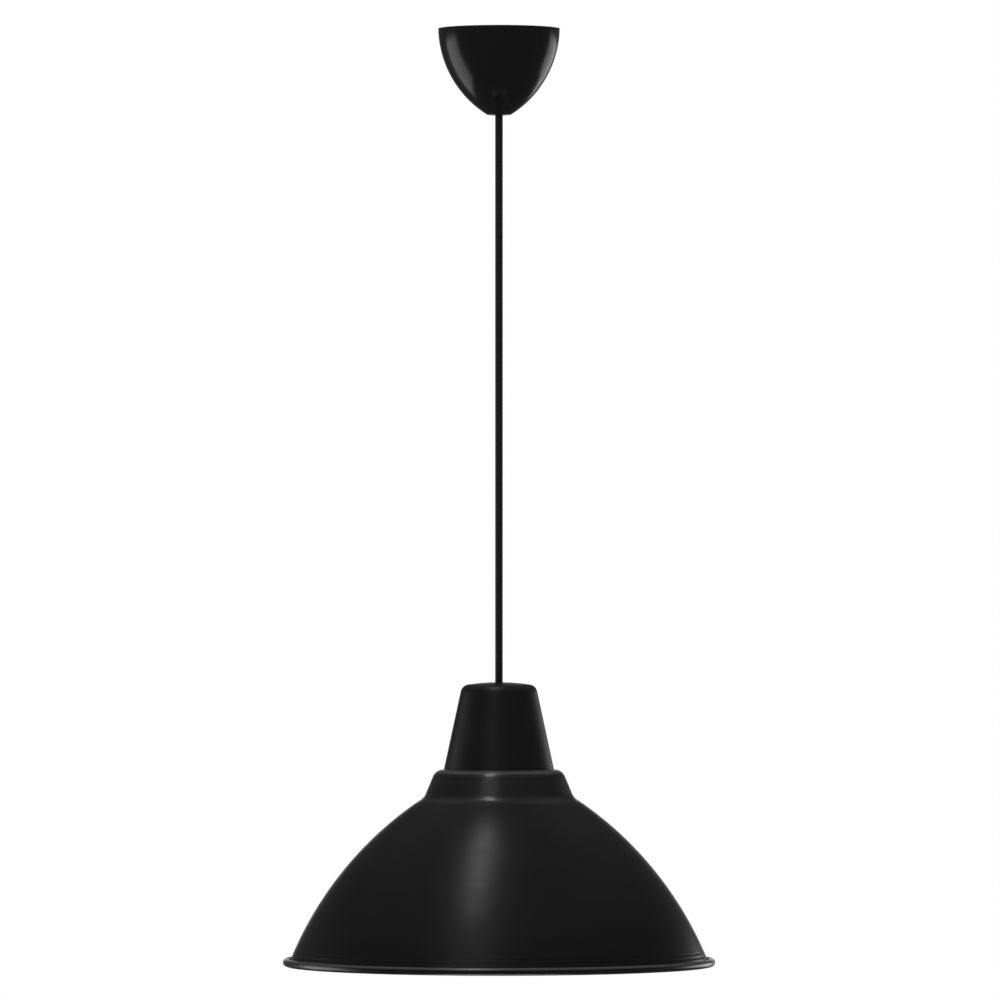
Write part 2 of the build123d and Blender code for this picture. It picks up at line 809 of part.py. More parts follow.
def lower_route(side):
    """Route of a lower lead: out of the sheath, aside, and down onto its post."""
    return [
        (side * core_x, 0, cord_tail_z),
        (side * core_x, 0, cord_tail_z - lead_drop),
        (side * post_offset, 0, post_top_z + lead_lift),
        (side * post_offset, 0, post_top_z),
    ]


live_lead = wire(lower_route(-1), post_wire_depth)
neutral_lead = wire(lower_route(1), post_wire_depth)

# Screw shell under the ledge, and the spring leaf that meets the bulb's tip
with BuildPart() as screw_shell:
    with BuildSketch(Plane.XZ):
        with BuildLine():
            Polyline(
                (shell_radius - shell_rim, ledge_under_z),
                (shell_radius, ledge_under_z),
                (shell_radius, ledge_under_z - shell_length),
                (shell_bore_radius, ledge_under_z - shell_length),
                (shell_bore_radius, ledge_under_z - shell_wall),
                (shell_radius - shell_rim, ledge_under_z - shell_wall),
                close=True,
            )
        make_face()
    revolve(axis=Axis.Z)

with BuildPart() as centre_contact:
    with BuildSketch(Plane.XZ):
        with BuildLine():
            leaf_outline = strip_outline(
                [
                    (-leaf_foot, plateau_z),
                    (-leaf_pad / 2 - leaf_slope / 2, plateau_z),
                    (-leaf_pad / 2 + leaf_slope / 2, plateau_z - leaf_drop),
                    (leaf_pad / 2 + leaf_slope / 2, plateau_z - leaf_drop),
                ],
                leaf_thickness,
            )
            Polyline(*leaf_outline, close=True)
        make_face()
    extrude(amount=leaf_width / 2, both=True)

# Ring nut on the skirt, clamping the shade against the flange
ring_top_z = plateau_z - shade_wall

with BuildPart() as shade_ring:
    with BuildSketch(Plane.XY.offset(ring_top_z)):
        Circle(ring_radius)
        with PolarLocations(ring_radius + ring_notch_radius - ring_notch_depth, ring_notches):
            Circle(ring_notch_radius, mode=Mode.SUBTRACT)
        Circle(skirt_radius + thread_fit, mode=Mode.SUBTRACT)
    extrude(amount=-ring_height)

# Bulb: tip contact, insulator, screw cap, housing, board and globe
tip_top_z = plateau_z - leaf_drop - leaf_thickness - leaf_gap
insulator_top_z = tip_top_z - insulator_set_back
bulb_cap_top_z = insulator_top_z - insulator_height
bulb_cap_under_z = bulb_cap_top_z - bulb_cap_length
bulb_cap_bore_radius = bulb_cap_radius - bulb_cap_wall
spigot_radius = bulb_cap_bore_radius - ball_fit
housing_under_z = bulb_cap_under_z - housing_length
globe_z = housing_under_z - sqrt(globe_radius**2 - housing_edge_radius**2)

with BuildPart() as bulb_tip:
    with BuildSketch(Plane.XY.offset(tip_top_z)):
        Circle(tip_radius)
    extrude(amount=-tip_height)
    tip_rim = bulb_tip.edges().filter_by(GeomType.CIRCLE).group_by(Axis.Z)[-1]
    fillet(tip_rim, insulator_set_back / 2)

with BuildPart() as bulb_insulator:
    with BuildSketch(Plane.XZ):
        with BuildLine():
            Polyline(
                (tip_radius + ball_fit, insulator_top_z),
                (insulator_radius, insulator_top_z),
                (bulb_cap_bore_radius - bulb_cap_rim, bulb_cap_top_z),
                (tip_radius + ball_fit, bulb_cap_top_z),
                close=True,
            )
        make_face()
    revolve(axis=Axis.Z)

with BuildPart() as bulb_cap:
    with BuildSketch(Plane.XZ):
        with BuildLine():
            Polyline(
                (tip_radius + ball_fit, bulb_cap_top_z),
                (bulb_cap_radius - bulb_cap_rim, bulb_cap_top_z),
                (bulb_cap_radius, bulb_cap_top_z - bulb_cap_rim),
                (bulb_cap_radius, bulb_cap_under_z),
                (bulb_cap_bore_radius, bulb_cap_under_z),
                (bulb_cap_bore_radius, bulb_cap_top_z - bulb_cap_rim),
                (bulb_cap_bore_radius - bulb_cap_rim, bulb_cap_top_z - bulb_cap_wall),
                (tip_radius + ball_fit, bulb_cap_top_z - bulb_cap_wall),
                close=True,
            )
        make_face()
    revolve(axis=Axis.Z)

with BuildPart() as bulb_housing:
    with BuildSketch(Plane.XZ):
        with BuildLine():
            RadiusArc(
                (housing_neck_radius, bulb_cap_under_z),
                (housing_edge_radius, housing_under_z),
                housing_arc_radius,
            )
            Polyline(
                (housing_edge_radius, housing_under_z),
                (0, housing_under_z),
                (0, housing_under_z + housing_wall),
                (housing_edge_radius - housing_wall, housing_under_z + housing_wall),
            )
            RadiusArc(
                (housing_edge_radius - housing_wall, housing_under_z + housing_wall),
                (housing_neck_radius - housing_wall, bulb_cap_under_z),
                -housing_arc_radius,
            )
            Polyline(
                (housing_neck_radius - housing_wall, bulb_cap_under_z),
                (spigot_radius - housing_wall, bulb_cap_under_z + housing_wall),
                (spigot_radius - housing_wall, bulb_cap_under_z + spigot_length),
                (spigot_radius, bulb_cap_under_z + spigot_length),
                (spigot_radius, bulb_cap_under_z),
                (housing_neck_radius, bulb_cap_under_z),
            )
        make_face()
    revolve(axis=Axis.Z)

with BuildPart() as led_board:
    with BuildSketch(Plane.XY.offset(housing_under_z)):
        Circle(board_radius)
    extrude(amount=-board_thickness)

globe_inner_radius = globe_radius - globe_wall
globe_lip_angle = degrees(asin((housing_under_z - globe_z) / globe_radius))
globe_inner_angle = degrees(asin((housing_under_z - globe_z) / globe_inner_radius))

with BuildPart() as bulb_globe:
    with BuildSketch(Plane.XZ):
        with BuildLine():
            CenterArc((0, globe_z), globe_radius, -90, globe_lip_angle + 90)
            Line(
                polar((0, globe_z), globe_radius, globe_lip_angle),
                polar((0, globe_z), globe_inner_radius, globe_inner_angle),
            )
            CenterArc((0, globe_z), globe_inner_radius, -90, globe_inner_angle + 90)
            Line((0, globe_z - globe_inner_radius), (0, globe_z - globe_radius))
        make_face()
    revolve(axis=Axis.Z)

pieces = {
    "ceiling_bracket": ceiling_bracket,
    "ceiling_hook": ceiling_hook,
    "hook_nuts": hook_nuts,
    "cord_hanger": cord_hanger,
    "hanger_clamp": hanger_clamp,
    "hanger_screws": hanger_screws,
    "upper_cord": upper_cord,
    "terminal_block": terminal_block,
    "terminal_sleeves": terminal_sleeves,
    "terminal_screws": terminal_screws,
    "terminal_fixing_screw": terminal_fixing_screw,
    "live_wire": live_wire,
    "neutral_wire": neutral_wire,
    "cord_grip": cord_grip,
    "ceiling_cup": ceiling_cup,
    "pendant_cord": pendant_cord,
    "lampholder_cap": lampholder_cap,
    "cord_collar": cord_collar,
    "collar_screw": collar_screw,
    "lampholder_body": lampholder_body,
    "contact_block": contact_block,
    "holder_terminals": holder_terminals,
    "holder_terminal_screws": holder_terminal_screws,
    "live_lead": live_lead,
    "neutral_lead": neutral_lead,
    "screw_shell": screw_shell,
    "centre_contact": centre_contact,
    "lampholder_cover": lampholder_cover,
    "shade": shade,
    "shade_ring": shade_ring,
    "bulb_tip": bulb_tip,
    "bulb_insulator": bulb_insulator,
    "bulb_cap": bulb_cap,
    "bulb_housing": bulb_housing,
    "led_board": led_board,
    "bulb_globe": bulb_globe,
}

for node, piece in pieces.items():
    piece.part.label = node
    export_step(piece.part, f"parts/{node}.step")

for name, route in (("upper", upper_route(1)), ("lower", lower_route(1))):
    print(name, "core bends", [round(radius, 1) for radius in bend_radii(route)])
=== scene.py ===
import json
import math
from typing import NamedTuple

import bmesh
import bpy
import numpy as np
from bpy.props import FloatProperty, FloatVectorProperty, IntProperty, PointerProperty
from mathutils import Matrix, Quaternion, Vector


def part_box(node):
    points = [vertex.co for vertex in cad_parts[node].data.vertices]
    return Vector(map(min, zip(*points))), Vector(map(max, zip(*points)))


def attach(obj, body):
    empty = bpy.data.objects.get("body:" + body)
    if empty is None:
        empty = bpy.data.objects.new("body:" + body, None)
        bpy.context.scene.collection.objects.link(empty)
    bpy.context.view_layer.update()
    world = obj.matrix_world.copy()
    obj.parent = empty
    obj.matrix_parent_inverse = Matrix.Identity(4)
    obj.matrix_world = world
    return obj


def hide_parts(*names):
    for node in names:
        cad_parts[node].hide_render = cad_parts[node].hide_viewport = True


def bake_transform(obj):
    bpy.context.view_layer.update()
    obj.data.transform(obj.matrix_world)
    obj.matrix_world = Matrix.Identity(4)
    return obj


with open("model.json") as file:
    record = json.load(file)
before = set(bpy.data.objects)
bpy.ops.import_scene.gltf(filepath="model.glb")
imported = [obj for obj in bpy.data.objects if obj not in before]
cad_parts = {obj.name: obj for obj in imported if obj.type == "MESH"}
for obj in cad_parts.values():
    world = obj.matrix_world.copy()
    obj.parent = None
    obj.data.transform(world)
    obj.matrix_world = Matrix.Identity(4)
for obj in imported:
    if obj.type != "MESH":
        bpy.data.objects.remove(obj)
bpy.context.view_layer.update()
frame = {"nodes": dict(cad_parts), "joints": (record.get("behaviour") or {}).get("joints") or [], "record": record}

bl_info = {
    "name": "Pendant Light",
    "version": (1, 0, 0),
    "blender": (4, 5, 0),
    "location": "3D View > Sidebar > Pendant",
    "description": "Builds the surfaces, finishes and studio of a pendant ceiling light on its CAD frame",
    "category": "Object",
}

# Roundings of crisp, eased and soft edges, the longest side of the cone's outline, the distance at which
# points are merged, and what keeps a radius from being nothing, in metres
CRISP = 0.0002
EASED = 0.0005
SOFT = 0.001
CONE_STEP = 0.004
WELD = 1e-7
OFF_AXIS = 1e-6

# Rows of points to one turn of a thread, and rows and columns of a slotted screw head
THREAD_ROWS = 10
HEAD_ROWS = 25
HEAD_COLUMNS = 17

# Edges sharper than these angles, in degrees, are not shaded smooth
SHARP_EDGE = 35.0
NUT_EDGE = 28.0

UV_NAME = "surface"

# Where the frame puts the pieces
BODY_OF = {
    node: body
    for body, nodes in frame["record"]["behaviour"]["bodies"].items()
    for node in nodes
}
JOINTS = {joint["name"]: joint for joint in frame["joints"]}
PIVOT_Z = JOINTS["pendant_swing"]["pos_m"][2]


def low(node):
    """Lowest corner of a CAD node."""
    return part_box(node)[0]


def high(node):
    """Highest corner of a CAD node."""
    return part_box(node)[1]


# Outlines: points (radius, height) in the plane through the lamp's axis


def arc(centre, radius, start, end, count):
    """Points on a circle from one angle to another, in degrees: centre + radius (cos, sin)."""
    angle = np.radians(np.linspace(start, end, count))
    return np.column_stack((centre[0] + radius * np.cos(angle), centre[1] + radius * np.sin(angle)))


def arc_centre(start, end, radius):
    """Centre of the circle of a radius through two points, to the right of the way between them: the
    chord's middle, moved square to the chord by the root of radius squared less half chord squared."""
    half = (end - start) / 2
    aside = np.array((half[1], -half[0])) / np.linalg.norm(half)
    return start + half + aside * math.sqrt(radius**2 - half @ half)


def bearing(start, end):
    """Angle in degrees of the way from one point to another."""
    return math.degrees(math.atan2(end[1] - start[1], end[0] - start[0]))


def rounded(corners, steps=8):
    """Closed outline from (radius, height, rounding) corners: each rounded corner becomes the arc that
    touches both of its sides, swept evenly about its centre on the corner's bisector."""
    spots = np.array([corner[:2] for corner in corners], float)
    outline = []
    for index, (x, z, rounding) in enumerate(corners):
        spot = np.array((x, z))
        if rounding == 0:
            outline.append(spot[None])
            continue
        before = spots[index - 1] - spot
        after = spots[(index + 1) % len(spots)] - spot
        before /= np.linalg.norm(before)
        after /= np.linalg.norm(after)
        half = math.acos(np.clip(before @ after, -1, 1)) / 2
        bisector = (before + after) / np.linalg.norm(before + after)
        centre = spot + bisector * rounding / math.sin(half)
        touch = spot + before * rounding / math.tan(half)
        sweep = math.degrees(math.pi - 2 * half)
        turn = before[0] * after[1] - before[1] * after[0]
        start = bearing(centre, touch)
        outline.append(arc(centre, rounding, start, start - math.copysign(sweep, turn), steps))
    return np.vstack(outline)


def fine(outline, step):
    """The same closed outline, with points added along its sides so that none is longer than a step."""
    ends = np.roll(outline, -1, axis=0)
    counts = np.maximum(np.ceil(np.linalg.norm(ends - outline, axis=1) / step).astype(int), 1)
    first = np.repeat(outline, counts, axis=0)
    last = np.repeat(ends, counts, axis=0)
    number = np.arange(counts.sum()) - np.repeat(np.cumsum(counts) - counts, counts)
    return first + (last - first) * (number / np.repeat(counts, counts))[:, None]


# Surfaces: grids of points, one row for each point of an outline or a path


def around(columns):
    """Angles of the columns of a surface of revolution."""
    return np.arange(columns)[None, :] * (2 * np.pi / columns)


def turned(outline, columns, relief=0.0):
    """Surface of revolution about the lamp's axis: (r + relief) cos a, (r + relief) sin a, z."""
    angle = around(columns)
    reach = outline[:, :1] + relief * np.ones((1, columns))
    height = np.repeat(outline[:, 1:], columns, axis=1)
    return np.stack((reach * np.cos(angle), reach * np.sin(angle), height), axis=2)


def ramp(value, start, end):
    """0 at start, 1 at end, straight between and level outside."""
    return np.clip((value - start) / (end - start), 0, 1)


def thread(height, angle, pitch, depth, bottom, top, run):
    """Relief of a right-hand screw: a cosine wave of the depth along z - pitch a / 2 pi, cut inwards,
    which fades out over a run at the bottom and the top."""
    wave = 0.5 - 0.5 * np.cos(2 * np.pi * height / pitch - angle)
    return -depth * wave * ramp(height, bottom, bottom + run) * ramp(height, top, top - run)


def swept(path, reach, sides, aside):
    """Tube about a path: p + r (cos a n + sin a b), where n is the fixed aside direction made square
    to the path and b is square to both. The radius is closed to nothing at both ends."""
    way = np.gradient(path, axis=0)
    way /= np.linalg.norm(way, axis=1, keepdims=True)
    normal = np.array(aside, float) - (way @ np.array(aside, float))[:, None] * way
    normal /= np.linalg.norm(normal, axis=1, keepdims=True)
    other = np.cross(way, normal)
    angle = around(sides)[:, :, None]
    reach = np.broadcast_to(reach, (len(path), sides))
    ring = np.cos(angle) * normal[:, None] + np.sin(angle) * other[:, None]
    skin = path[:, None] + reach[:, :, None] * ring
    cap = np.ones((1, sides, 1))
    return np.concatenate((path[:1, None] * cap, skin, path[-1:, None] * cap))


def grid_faces(rows, columns, closed):
    """Quads between neighbouring rows and columns, with the columns joined into rings, and the rows too
    if the outline is closed."""
    row = np.arange(rows if closed else rows - 1)[:, None]
    column = np.arange(columns)[None, :]
    below = (row + 1) % rows
    beside = (column + 1) % columns
    here, there = row * columns, below * columns
    corners = (here + column, here + beside, there + beside, there + column)
    return np.stack(np.broadcast_arrays(*corners), axis=2).reshape(-1, 4)


def grid_uv(points, closed):
    """Corner coordinates of each quad: turns around, and metres along the outline."""
    rows, columns = points.shape[:2]
    steps = np.linalg.norm(np.diff(points[:, 0], axis=0, append=points[:1, 0]), axis=1)
    along = np.concatenate(((0.0,), np.cumsum(steps)))
    row = np.arange(rows if closed else rows - 1)[:, None, None] + np.array((0, 0, 1, 1))
    column = np.arange(columns)[None, :, None] + np.array((0, 1, 1, 0))
    return np.stack(np.broadcast_arrays(column / columns, along[row]), axis=3).reshape(-1, 2)


def enclosed(points, faces):
    """Signed volume inside quads: the sum of the tetrahedra from the first point to each half quad."""
    a, b, c, d = np.moveaxis(points[faces] - points[0], 1, 0)
    halves = np.einsum("ij,ij->i", np.cross(a, b), c) + np.einsum("ij,ij->i", np.cross(a, c), d)
    return halves.sum() / 6


def surface_mesh(name, grids, closed, sharp):
    """One mesh from several grids, each turned outwards, with doubles at its poles merged, smooth but for
    edges sharper than an angle."""
    points, faces, coordinates = [], [], []
    start = 0
    for grid in grids:
        flat = grid.reshape(-1, 3)
        quads = grid_faces(*grid.shape[:2], closed)
        uv = grid_uv(grid, closed).reshape(-1, 4, 2)
        if enclosed(flat, quads) < 0:
            quads, uv = quads[:, ::-1], uv[:, ::-1]
        points.append(flat)
        faces.append(quads + start)
        coordinates.append(uv.reshape(-1, 2))
        start += len(flat)
    mesh = bpy.data.meshes.new(name)
    mesh.from_pydata(np.vstack(points), [], np.vstack(faces))
    mesh.uv_layers.new(name=UV_NAME)
    mesh.uv_layers[UV_NAME].uv.foreach_set("vector", np.vstack(coordinates).astype(np.float32).ravel())
    welded = bmesh.new()
    welded.from_mesh(mesh)
    bmesh.ops.remove_doubles(welded, verts=welded.verts, dist=WELD)
    welded.to_mesh(mesh)
    welded.free()
    mesh.shade_smooth()
    mesh.set_sharp_from_angle(angle=math.radians(sharp))
    return mesh


def add_surface(name, grids, finishes, closed=True, sharp=SHARP_EDGE):
    """Puts one mesh of grids into the scene, with its finishes."""
    mesh = surface_mesh(name, grids, closed, sharp)
    for finish in finishes:
        mesh.materials.append(finish)
    surface = bpy.data.objects.new(name, mesh)
    bpy.context.scene.collection.objects.link(surface)
    return surface


def add_piece(name, grids, finishes, slot, node, **shading):
    """Puts a surface into the scene in place of a CAD node, riding on the node's body."""
    piece = add_surface(name, grids, finishes, **shading)
    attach(piece, BODY_OF[node])
    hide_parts(node)
    return piece


def vertex_places(mesh):
    """Places of a mesh's vertices, one to a row."""
    points = np.empty(len(mesh.vertices) * 3, np.float32)
    mesh.vertices.foreach_get("co", points)
    return points.reshape(-1, 3)


def smooth_line(name, route, resolution):
    """Points along the NURBS spline that has the route's points as its control points."""
    curve = bpy.data.curves.new(name, "CURVE")
    curve.dimensions = "3D"
    curve.resolution_u = resolution
    spline = curve.splines.new("NURBS")
    spline.points.add(len(route) - 1)
    for point, spot in zip(spline.points, route):
        point.co = (*spot, 1.0)
    spline.order_u = 3
    spline.use_endpoint_u = True
    holder = bpy.data.objects.new(name, curve)
    line = bpy.data.meshes.new_from_object(holder)
    points = vertex_places(line).astype(float)
    bpy.data.objects.remove(holder)
    bpy.data.curves.remove(curve)
    bpy.data.meshes.remove(line)
    return points


# Finishes


class Layer(NamedTuple):
    """A noise in a finish: the Wire method that gives its place and what that takes, the noise's own
    scale, detail and grain, and how much of it goes into the finish's roughness and relief."""

    place: str = "place"
    spread: tuple = ()
    scale: float = 1.0
    detail: float = 2.0
    grain: float = 0.5
    gloss: float = 0.0
    relief: float = 0.0


class Wire:
    """A socket of a shader's node tree. Arithmetic on it adds Math nodes."""

    def __init__(self, tree, socket=None):
        self.tree = tree
        self.socket = socket

    def node(self, kind, settings=None, inputs=None, output=0):
        """Adds a node, sets its settings, then its sockets' values or links, and gives one output."""
        made = self.tree.nodes.new(kind)
        for name, value in (settings or {}).items():
            setattr(made, name, value)
        for name, value in (inputs or {}).items():
            if isinstance(value, Wire):
                self.tree.links.new(value.socket, made.inputs[name])
            else:
                made.inputs[name].default_value = value
        return Wire(self.tree, made.outputs[output])

    def math(self, operation, *values):
        return self.node("ShaderNodeMath", {"operation": operation}, dict(enumerate(values)))

    def __add__(self, other):
        return self.math("ADD", self, other)

    def __sub__(self, other):
        return self.math("SUBTRACT", self, other)

    def __mul__(self, other):
        return self.math("MULTIPLY", self, other)

    def __truediv__(self, other):
        return self.math("DIVIDE", self, other)

    def __rsub__(self, other):
        return self.math("SUBTRACT", other, self)

    __radd__ = __add__
    __rmul__ = __mul__

    def clamped(self, start, end):
        """0 below start, 1 above end, smooth between."""
        settings = {"interpolation_type": "SMOOTHSTEP"}
        return self.node("ShaderNodeMapRange", settings, {"Value": self, "From Min": start, "From Max": end})

    def vector(self, x, y, z):
        return self.node("ShaderNodeCombineXYZ", inputs={"X": x, "Y": y, "Z": z})

    def parts(self, vector):
        """The three numbers of a vector."""
        split = self.node("ShaderNodeSeparateXYZ", inputs={0: vector})
        return [Wire(self.tree, socket) for socket in split.socket.node.outputs]

    def tint(self, factor, first, second):
        """Colour between two colours, of which the first may be a wire. A Mix node's colours are its
        inputs 6 and 7, and its output 2."""
        start = first if isinstance(first, Wire) else (*first, 1.0)
        inputs = {0: factor, 6: start, 7: (*second, 1.0)}
        return self.node("ShaderNodeMix", {"data_type": "RGBA"}, inputs, output=2)

    def bump(self, height, distance, strength):
        inputs = {"Strength": strength, "Distance": distance, "Height": height}
        return self.node("ShaderNodeBump", inputs=inputs)

    def noise(self, layer):
        """The noise of a layer, at the place that the layer names."""
        vector = getattr(self, layer.place)(*layer.spread)
        inputs = {"Vector": vector, "Scale": layer.scale, "Detail": layer.detail, "Roughness": layer.grain}
        return self.node("ShaderNodeTexNoise", inputs=inputs)

    def place(self):
        """Object coordinates, as a vector."""
        return self.node("ShaderNodeTexCoord", output="Object")

    def stretched(self, *scales):
        """Object coordinates, each times its own scale."""
        return self.vector(*(part * scale for part, scale in zip(self.parts(self.place()), scales)))

    def reach(self, x, y):
        """Distance from the lamp's axis."""
        return self.math("SQRT", x * x + y * y)

    def lathe(self, turns, along):
        """A place for patterns that run round the lamp's axis: the unit circle times turns, and the way
        down the surface, radius minus height, times along."""
        x, y, z = self.parts(self.place())
        radius = self.reach(x, y) + OFF_AXIS
        return self.vector(x / radius * turns, y / radius * turns, (radius - z) * along)

    def sheath(self, turns, along):
        """A place for patterns on a cord: the unit circle of its turn, and metres along it."""
        u, v, _ = self.parts(self.node("ShaderNodeUVMap", {"uv_map": UV_NAME}))
        angle = u * (2 * math.pi)
        return self.vector(self.math("COSINE", angle) * turns, self.math("SINE", angle) * turns, v * along)


def new_finish(name, constants, build):
    """Material with one Principled shader: constants go on its sockets, and build gives what varies."""
    finish = bpy.data.materials.new(name)
    finish.use_nodes = True
    shader = finish.node_tree.nodes["Principled BSDF"]
    for socket, value in constants.items():
        shader.inputs[socket].default_value = value
    for socket, wire in build(Wire(finish.node_tree)).items():
        finish.node_tree.links.new(wire.socket, shader.inputs[socket])
    return finish


def layered(name, colours, layers, constants, roughness, depth, strength):
    """Material made of noises: the first mixes the two colours, and each adds its shares to the roughness
    and to the relief, which has a depth and a strength."""

    def build(wire):
        noises = [wire.noise(layer) for layer in layers]
        glosses = [(noise - 0.5) * layer.gloss for noise, layer in zip(noises, layers) if layer.gloss]
        heights = [noise * layer.relief for noise, layer in zip(noises, layers) if layer.relief]
        return {
            "Base Color": wire.tint(noises[0], *colours),
            "Roughness": sum(glosses, roughness),
            "Normal": wire.bump(sum(heights[1:], heights[0]), depth, strength),
        }

    return new_finish(name, constants, build)


def shade_outside(look):
    """Black paint on spun sheet: fine rings left by the roller, two low waves above the rim, slow streaks and
    a powdery grain. It is glossier round the neck and the rolled rim, and along the crests of rim and shoulder
    it has a paler colour that is a painted highlight."""
    top = high("shade").z
    waist = top - look.neck_depth
    flat = look.neck_radius - look.shoulder_radius
    bead_z = low("shade").z + look.bead_radius
    bead = high("shade").x - look.bead_radius
    two_rings = 2 * look.ring_pitch
    rings = Layer("lathe", (0.6, 1500.0), detail=3.0, grain=0.6, gloss=0.16, relief=1.6)
    streaks = Layer("lathe", (1.4, 70.0), gloss=0.10)
    powder = Layer(scale=1600.0, relief=0.3)
    streak_edge = (0.42, 0.62)
    wave_relief = 4.0

    def build(wire):
        x, y, z = wire.parts(wire.place())
        radius = wire.reach(x, y)
        lip = radius.clamped(bead - EASED, bead + EASED)
        neck = z.clamped(waist - 6 * SOFT, waist - SOFT)
        # Painted highlight: a paler colour along the crests of the rolled rim and the shoulder, where light would
        # catch them
        rim_highlight = lip * z.clamped(bead_z + SOFT, bead_z + 2 * SOFT)
        shoulder_highlight = radius.clamped(flat, flat + 2 * SOFT) * z.clamped(top - 4 * SOFT, top - 2 * SOFT)
        crest_highlight = wire.math("MAXIMUM", rim_highlight, shoulder_highlight)
        streaked = wire.noise(streaks)
        ringed = (wire.noise(rings) - 0.5) * streaked.clamped(*streak_edge)
        above_rim = z - (bead_z + look.bead_radius)
        wave = wire.math("SINE", above_rim * (2 * math.pi / look.ring_pitch))
        near_rim = 1.0 - above_rim.clamped(two_rings - EASED, two_rings + EASED)
        waved = wave * near_rim * (1.0 - lip)
        relief = ringed * rings.relief + wire.noise(powder) * powder.relief + waved * wave_relief
        paint = wire.tint(streaked, look.outside_dark, look.outside_light)
        return {
            # The crests take the painted highlight colour over the black paint
            "Base Color": wire.tint(crest_highlight, paint, look.crest_highlight),
            "Roughness": look.outside_roughness + ringed * rings.gloss + (streaked - 0.5) * streaks.gloss,
            "Normal": wire.bump(relief, look.ring_depth, strength=0.35),
            "Coat Weight": wire.math("MAXIMUM", lip, neck) * look.gloss,
        }

    constants = {"Specular IOR Level": look.outside_specular, "Coat Roughness": 0.22}
    return new_finish("shade_outside", constants, build)


def shade_inside(look):
    """White enamel inside the shade, with a soft sag in the coat and faint rings of the sheet below."""
    cloud = Layer(scale=14.0, gloss=0.12)
    rings = Layer("lathe", (0.6, 700.0), detail=3.0, gloss=0.06, relief=0.4)
    sag = Layer(scale=260.0, detail=1.0, relief=0.6)
    colours = look.inside_dark, look.inside_light
    return layered("shade_inside", colours, [cloud, rings, sag], {}, roughness=0.30, depth=3e-5, strength=0.4)


def black_finish(name, look, layers, roughness, depth, strength):
    """Black plastic or rubber in two shades of its own settings."""
    constants = {"Specular IOR Level": look.specular}
    return layered(name, (look.dark, look.light), layers, constants, roughness, depth, strength)


def cup_black(look):
    """Glossy moulded black: a polished skin with faint flow marks and rubbed patches."""
    flow = Layer("lathe", (1.0, 45.0), relief=0.5)
    rubbed = Layer(scale=55.0, detail=4.0, grain=0.65, gloss=0.10)
    skin = Layer(scale=900.0, detail=1.0, relief=0.5)
    return black_finish("cup_black", look, [flow, rubbed, skin], look.roughness, depth=1.2e-5, strength=0.3)


def cover_black(look):
    """Satin moulded black with a fine spark-eroded grain."""
    cloud = Layer(scale=40.0, detail=3.0, gloss=0.10)
    grain = Layer(scale=2600.0, detail=3.0, grain=0.6, gloss=0.05, relief=1.0)
    return black_finish("cover_black", look, [cloud, grain], look.roughness, depth=2e-5, strength=0.35)


def cord_black(look):
    """Black cord sheath: drawn lines along it and a slow change of sheen."""
    cloud = Layer("sheath", (0.7, 30.0), gloss=0.10)
    drawn = Layer("sheath", (7.0, 3.0), detail=3.0, gloss=0.18, relief=0.7)
    skin = Layer("sheath", (9.0, 2400.0), detail=1.0, relief=0.3)
    return black_finish("cord_black", look, [cloud, drawn, skin], roughness=0.46, depth=4e-5, strength=0.4)


def insulation(name, dark, light):
    """Coloured insulation of a core: cloudy colour and a fine grain."""
    cloud = Layer(scale=160.0)
    grain = Layer(scale=1400.0, gloss=0.16, relief=1.0)
    return layered(name, (dark, light), [cloud, grain], {}, roughness=0.40, depth=2e-5, strength=0.3)


def metal(name, dark, light, roughness, brushed):
    """Bare or plated metal: cloudy colour, handling marks, and fine lines squeezed along one axis."""
    cloud = Layer(scale=130.0, detail=3.0, gloss=0.16)
    lines = Layer("stretched", brushed, detail=3.0, gloss=0.14, relief=1.0)
    constants = {"Metallic": 1.0}
    return layered(name, (dark, light), [cloud, lines], constants, roughness, depth=1.5e-5, strength=0.35)


def moulded(name, dark, light, roughness, grain_scale):
    """Moulded plastic, rubber or fired clay: cloudy colour and a fine grain."""
    cloud = Layer(scale=70.0, detail=3.0, gloss=0.12)
    grain = Layer(scale=grain_scale, detail=3.0, grain=0.6, gloss=0.10, relief=1.0)
    return layered(name, (dark, light), [cloud, grain], {}, roughness, depth=2.5e-5, strength=0.35)


def opal(look):
    """Milky diffusing globe: a little light goes into it, and its skin is smooth."""
    cloud = Layer(scale=35.0, gloss=0.10)
    skin = Layer(scale=700.0, detail=1.0, relief=1.0)
    colours = look.globe_dark, look.globe_light
    constants = {"Subsurface Weight": 0.25, "Subsurface Scale": 0.004}
    return layered(
        "opal_globe", colours, [cloud, skin], constants, roughness=0.24, depth=1.5e-5, strength=0.25
    )


def zinc():
    return metal("zinc_plate", (0.38, 0.39, 0.41), (0.50, 0.50, 0.49), 0.58, (60.0, 900.0, 900.0))


def brass():
    return metal("brass", (0.62, 0.43, 0.16), (0.78, 0.58, 0.27), 0.28, (300.0, 300.0, 2600.0))


def nickel():
    return metal("nickel", (0.60, 0.58, 0.54), (0.74, 0.72, 0.68), 0.24, (250.0, 250.0, 2200.0))


def nylon():
    return moulded("white_nylon", (0.70, 0.68, 0.61), (0.80, 0.78, 0.72), 0.46, 1500.0)


def holder_black():
    return moulded("holder_black", (0.010, 0.010, 0.011), (0.020, 0.020, 0.021), 0.34, 1900.0)


def rubber():
    return moulded("grip_rubber", (0.012, 0.012, 0.012), (0.026, 0.025, 0.024), 0.66, 1200.0)


def bulb_white():
    return moulded("bulb_plastic", (0.70, 0.70, 0.69), (0.78, 0.78, 0.77), 0.38, 1800.0)


def board_white():
    return moulded("board_white", (0.66, 0.67, 0.66), (0.74, 0.75, 0.74), 0.42, 900.0)


def ceramic():
    return moulded("white_ceramic", (0.74, 0.73, 0.70), (0.84, 0.83, 0.81), 0.22, 500.0)


# Settings


def setting(kind, **fixed):
    """Maker of one kind of setting, which takes a name, a description and a default."""

    def make(name, description, default):
        return kind(name=name, description=description, default=default, **fixed)

    return make


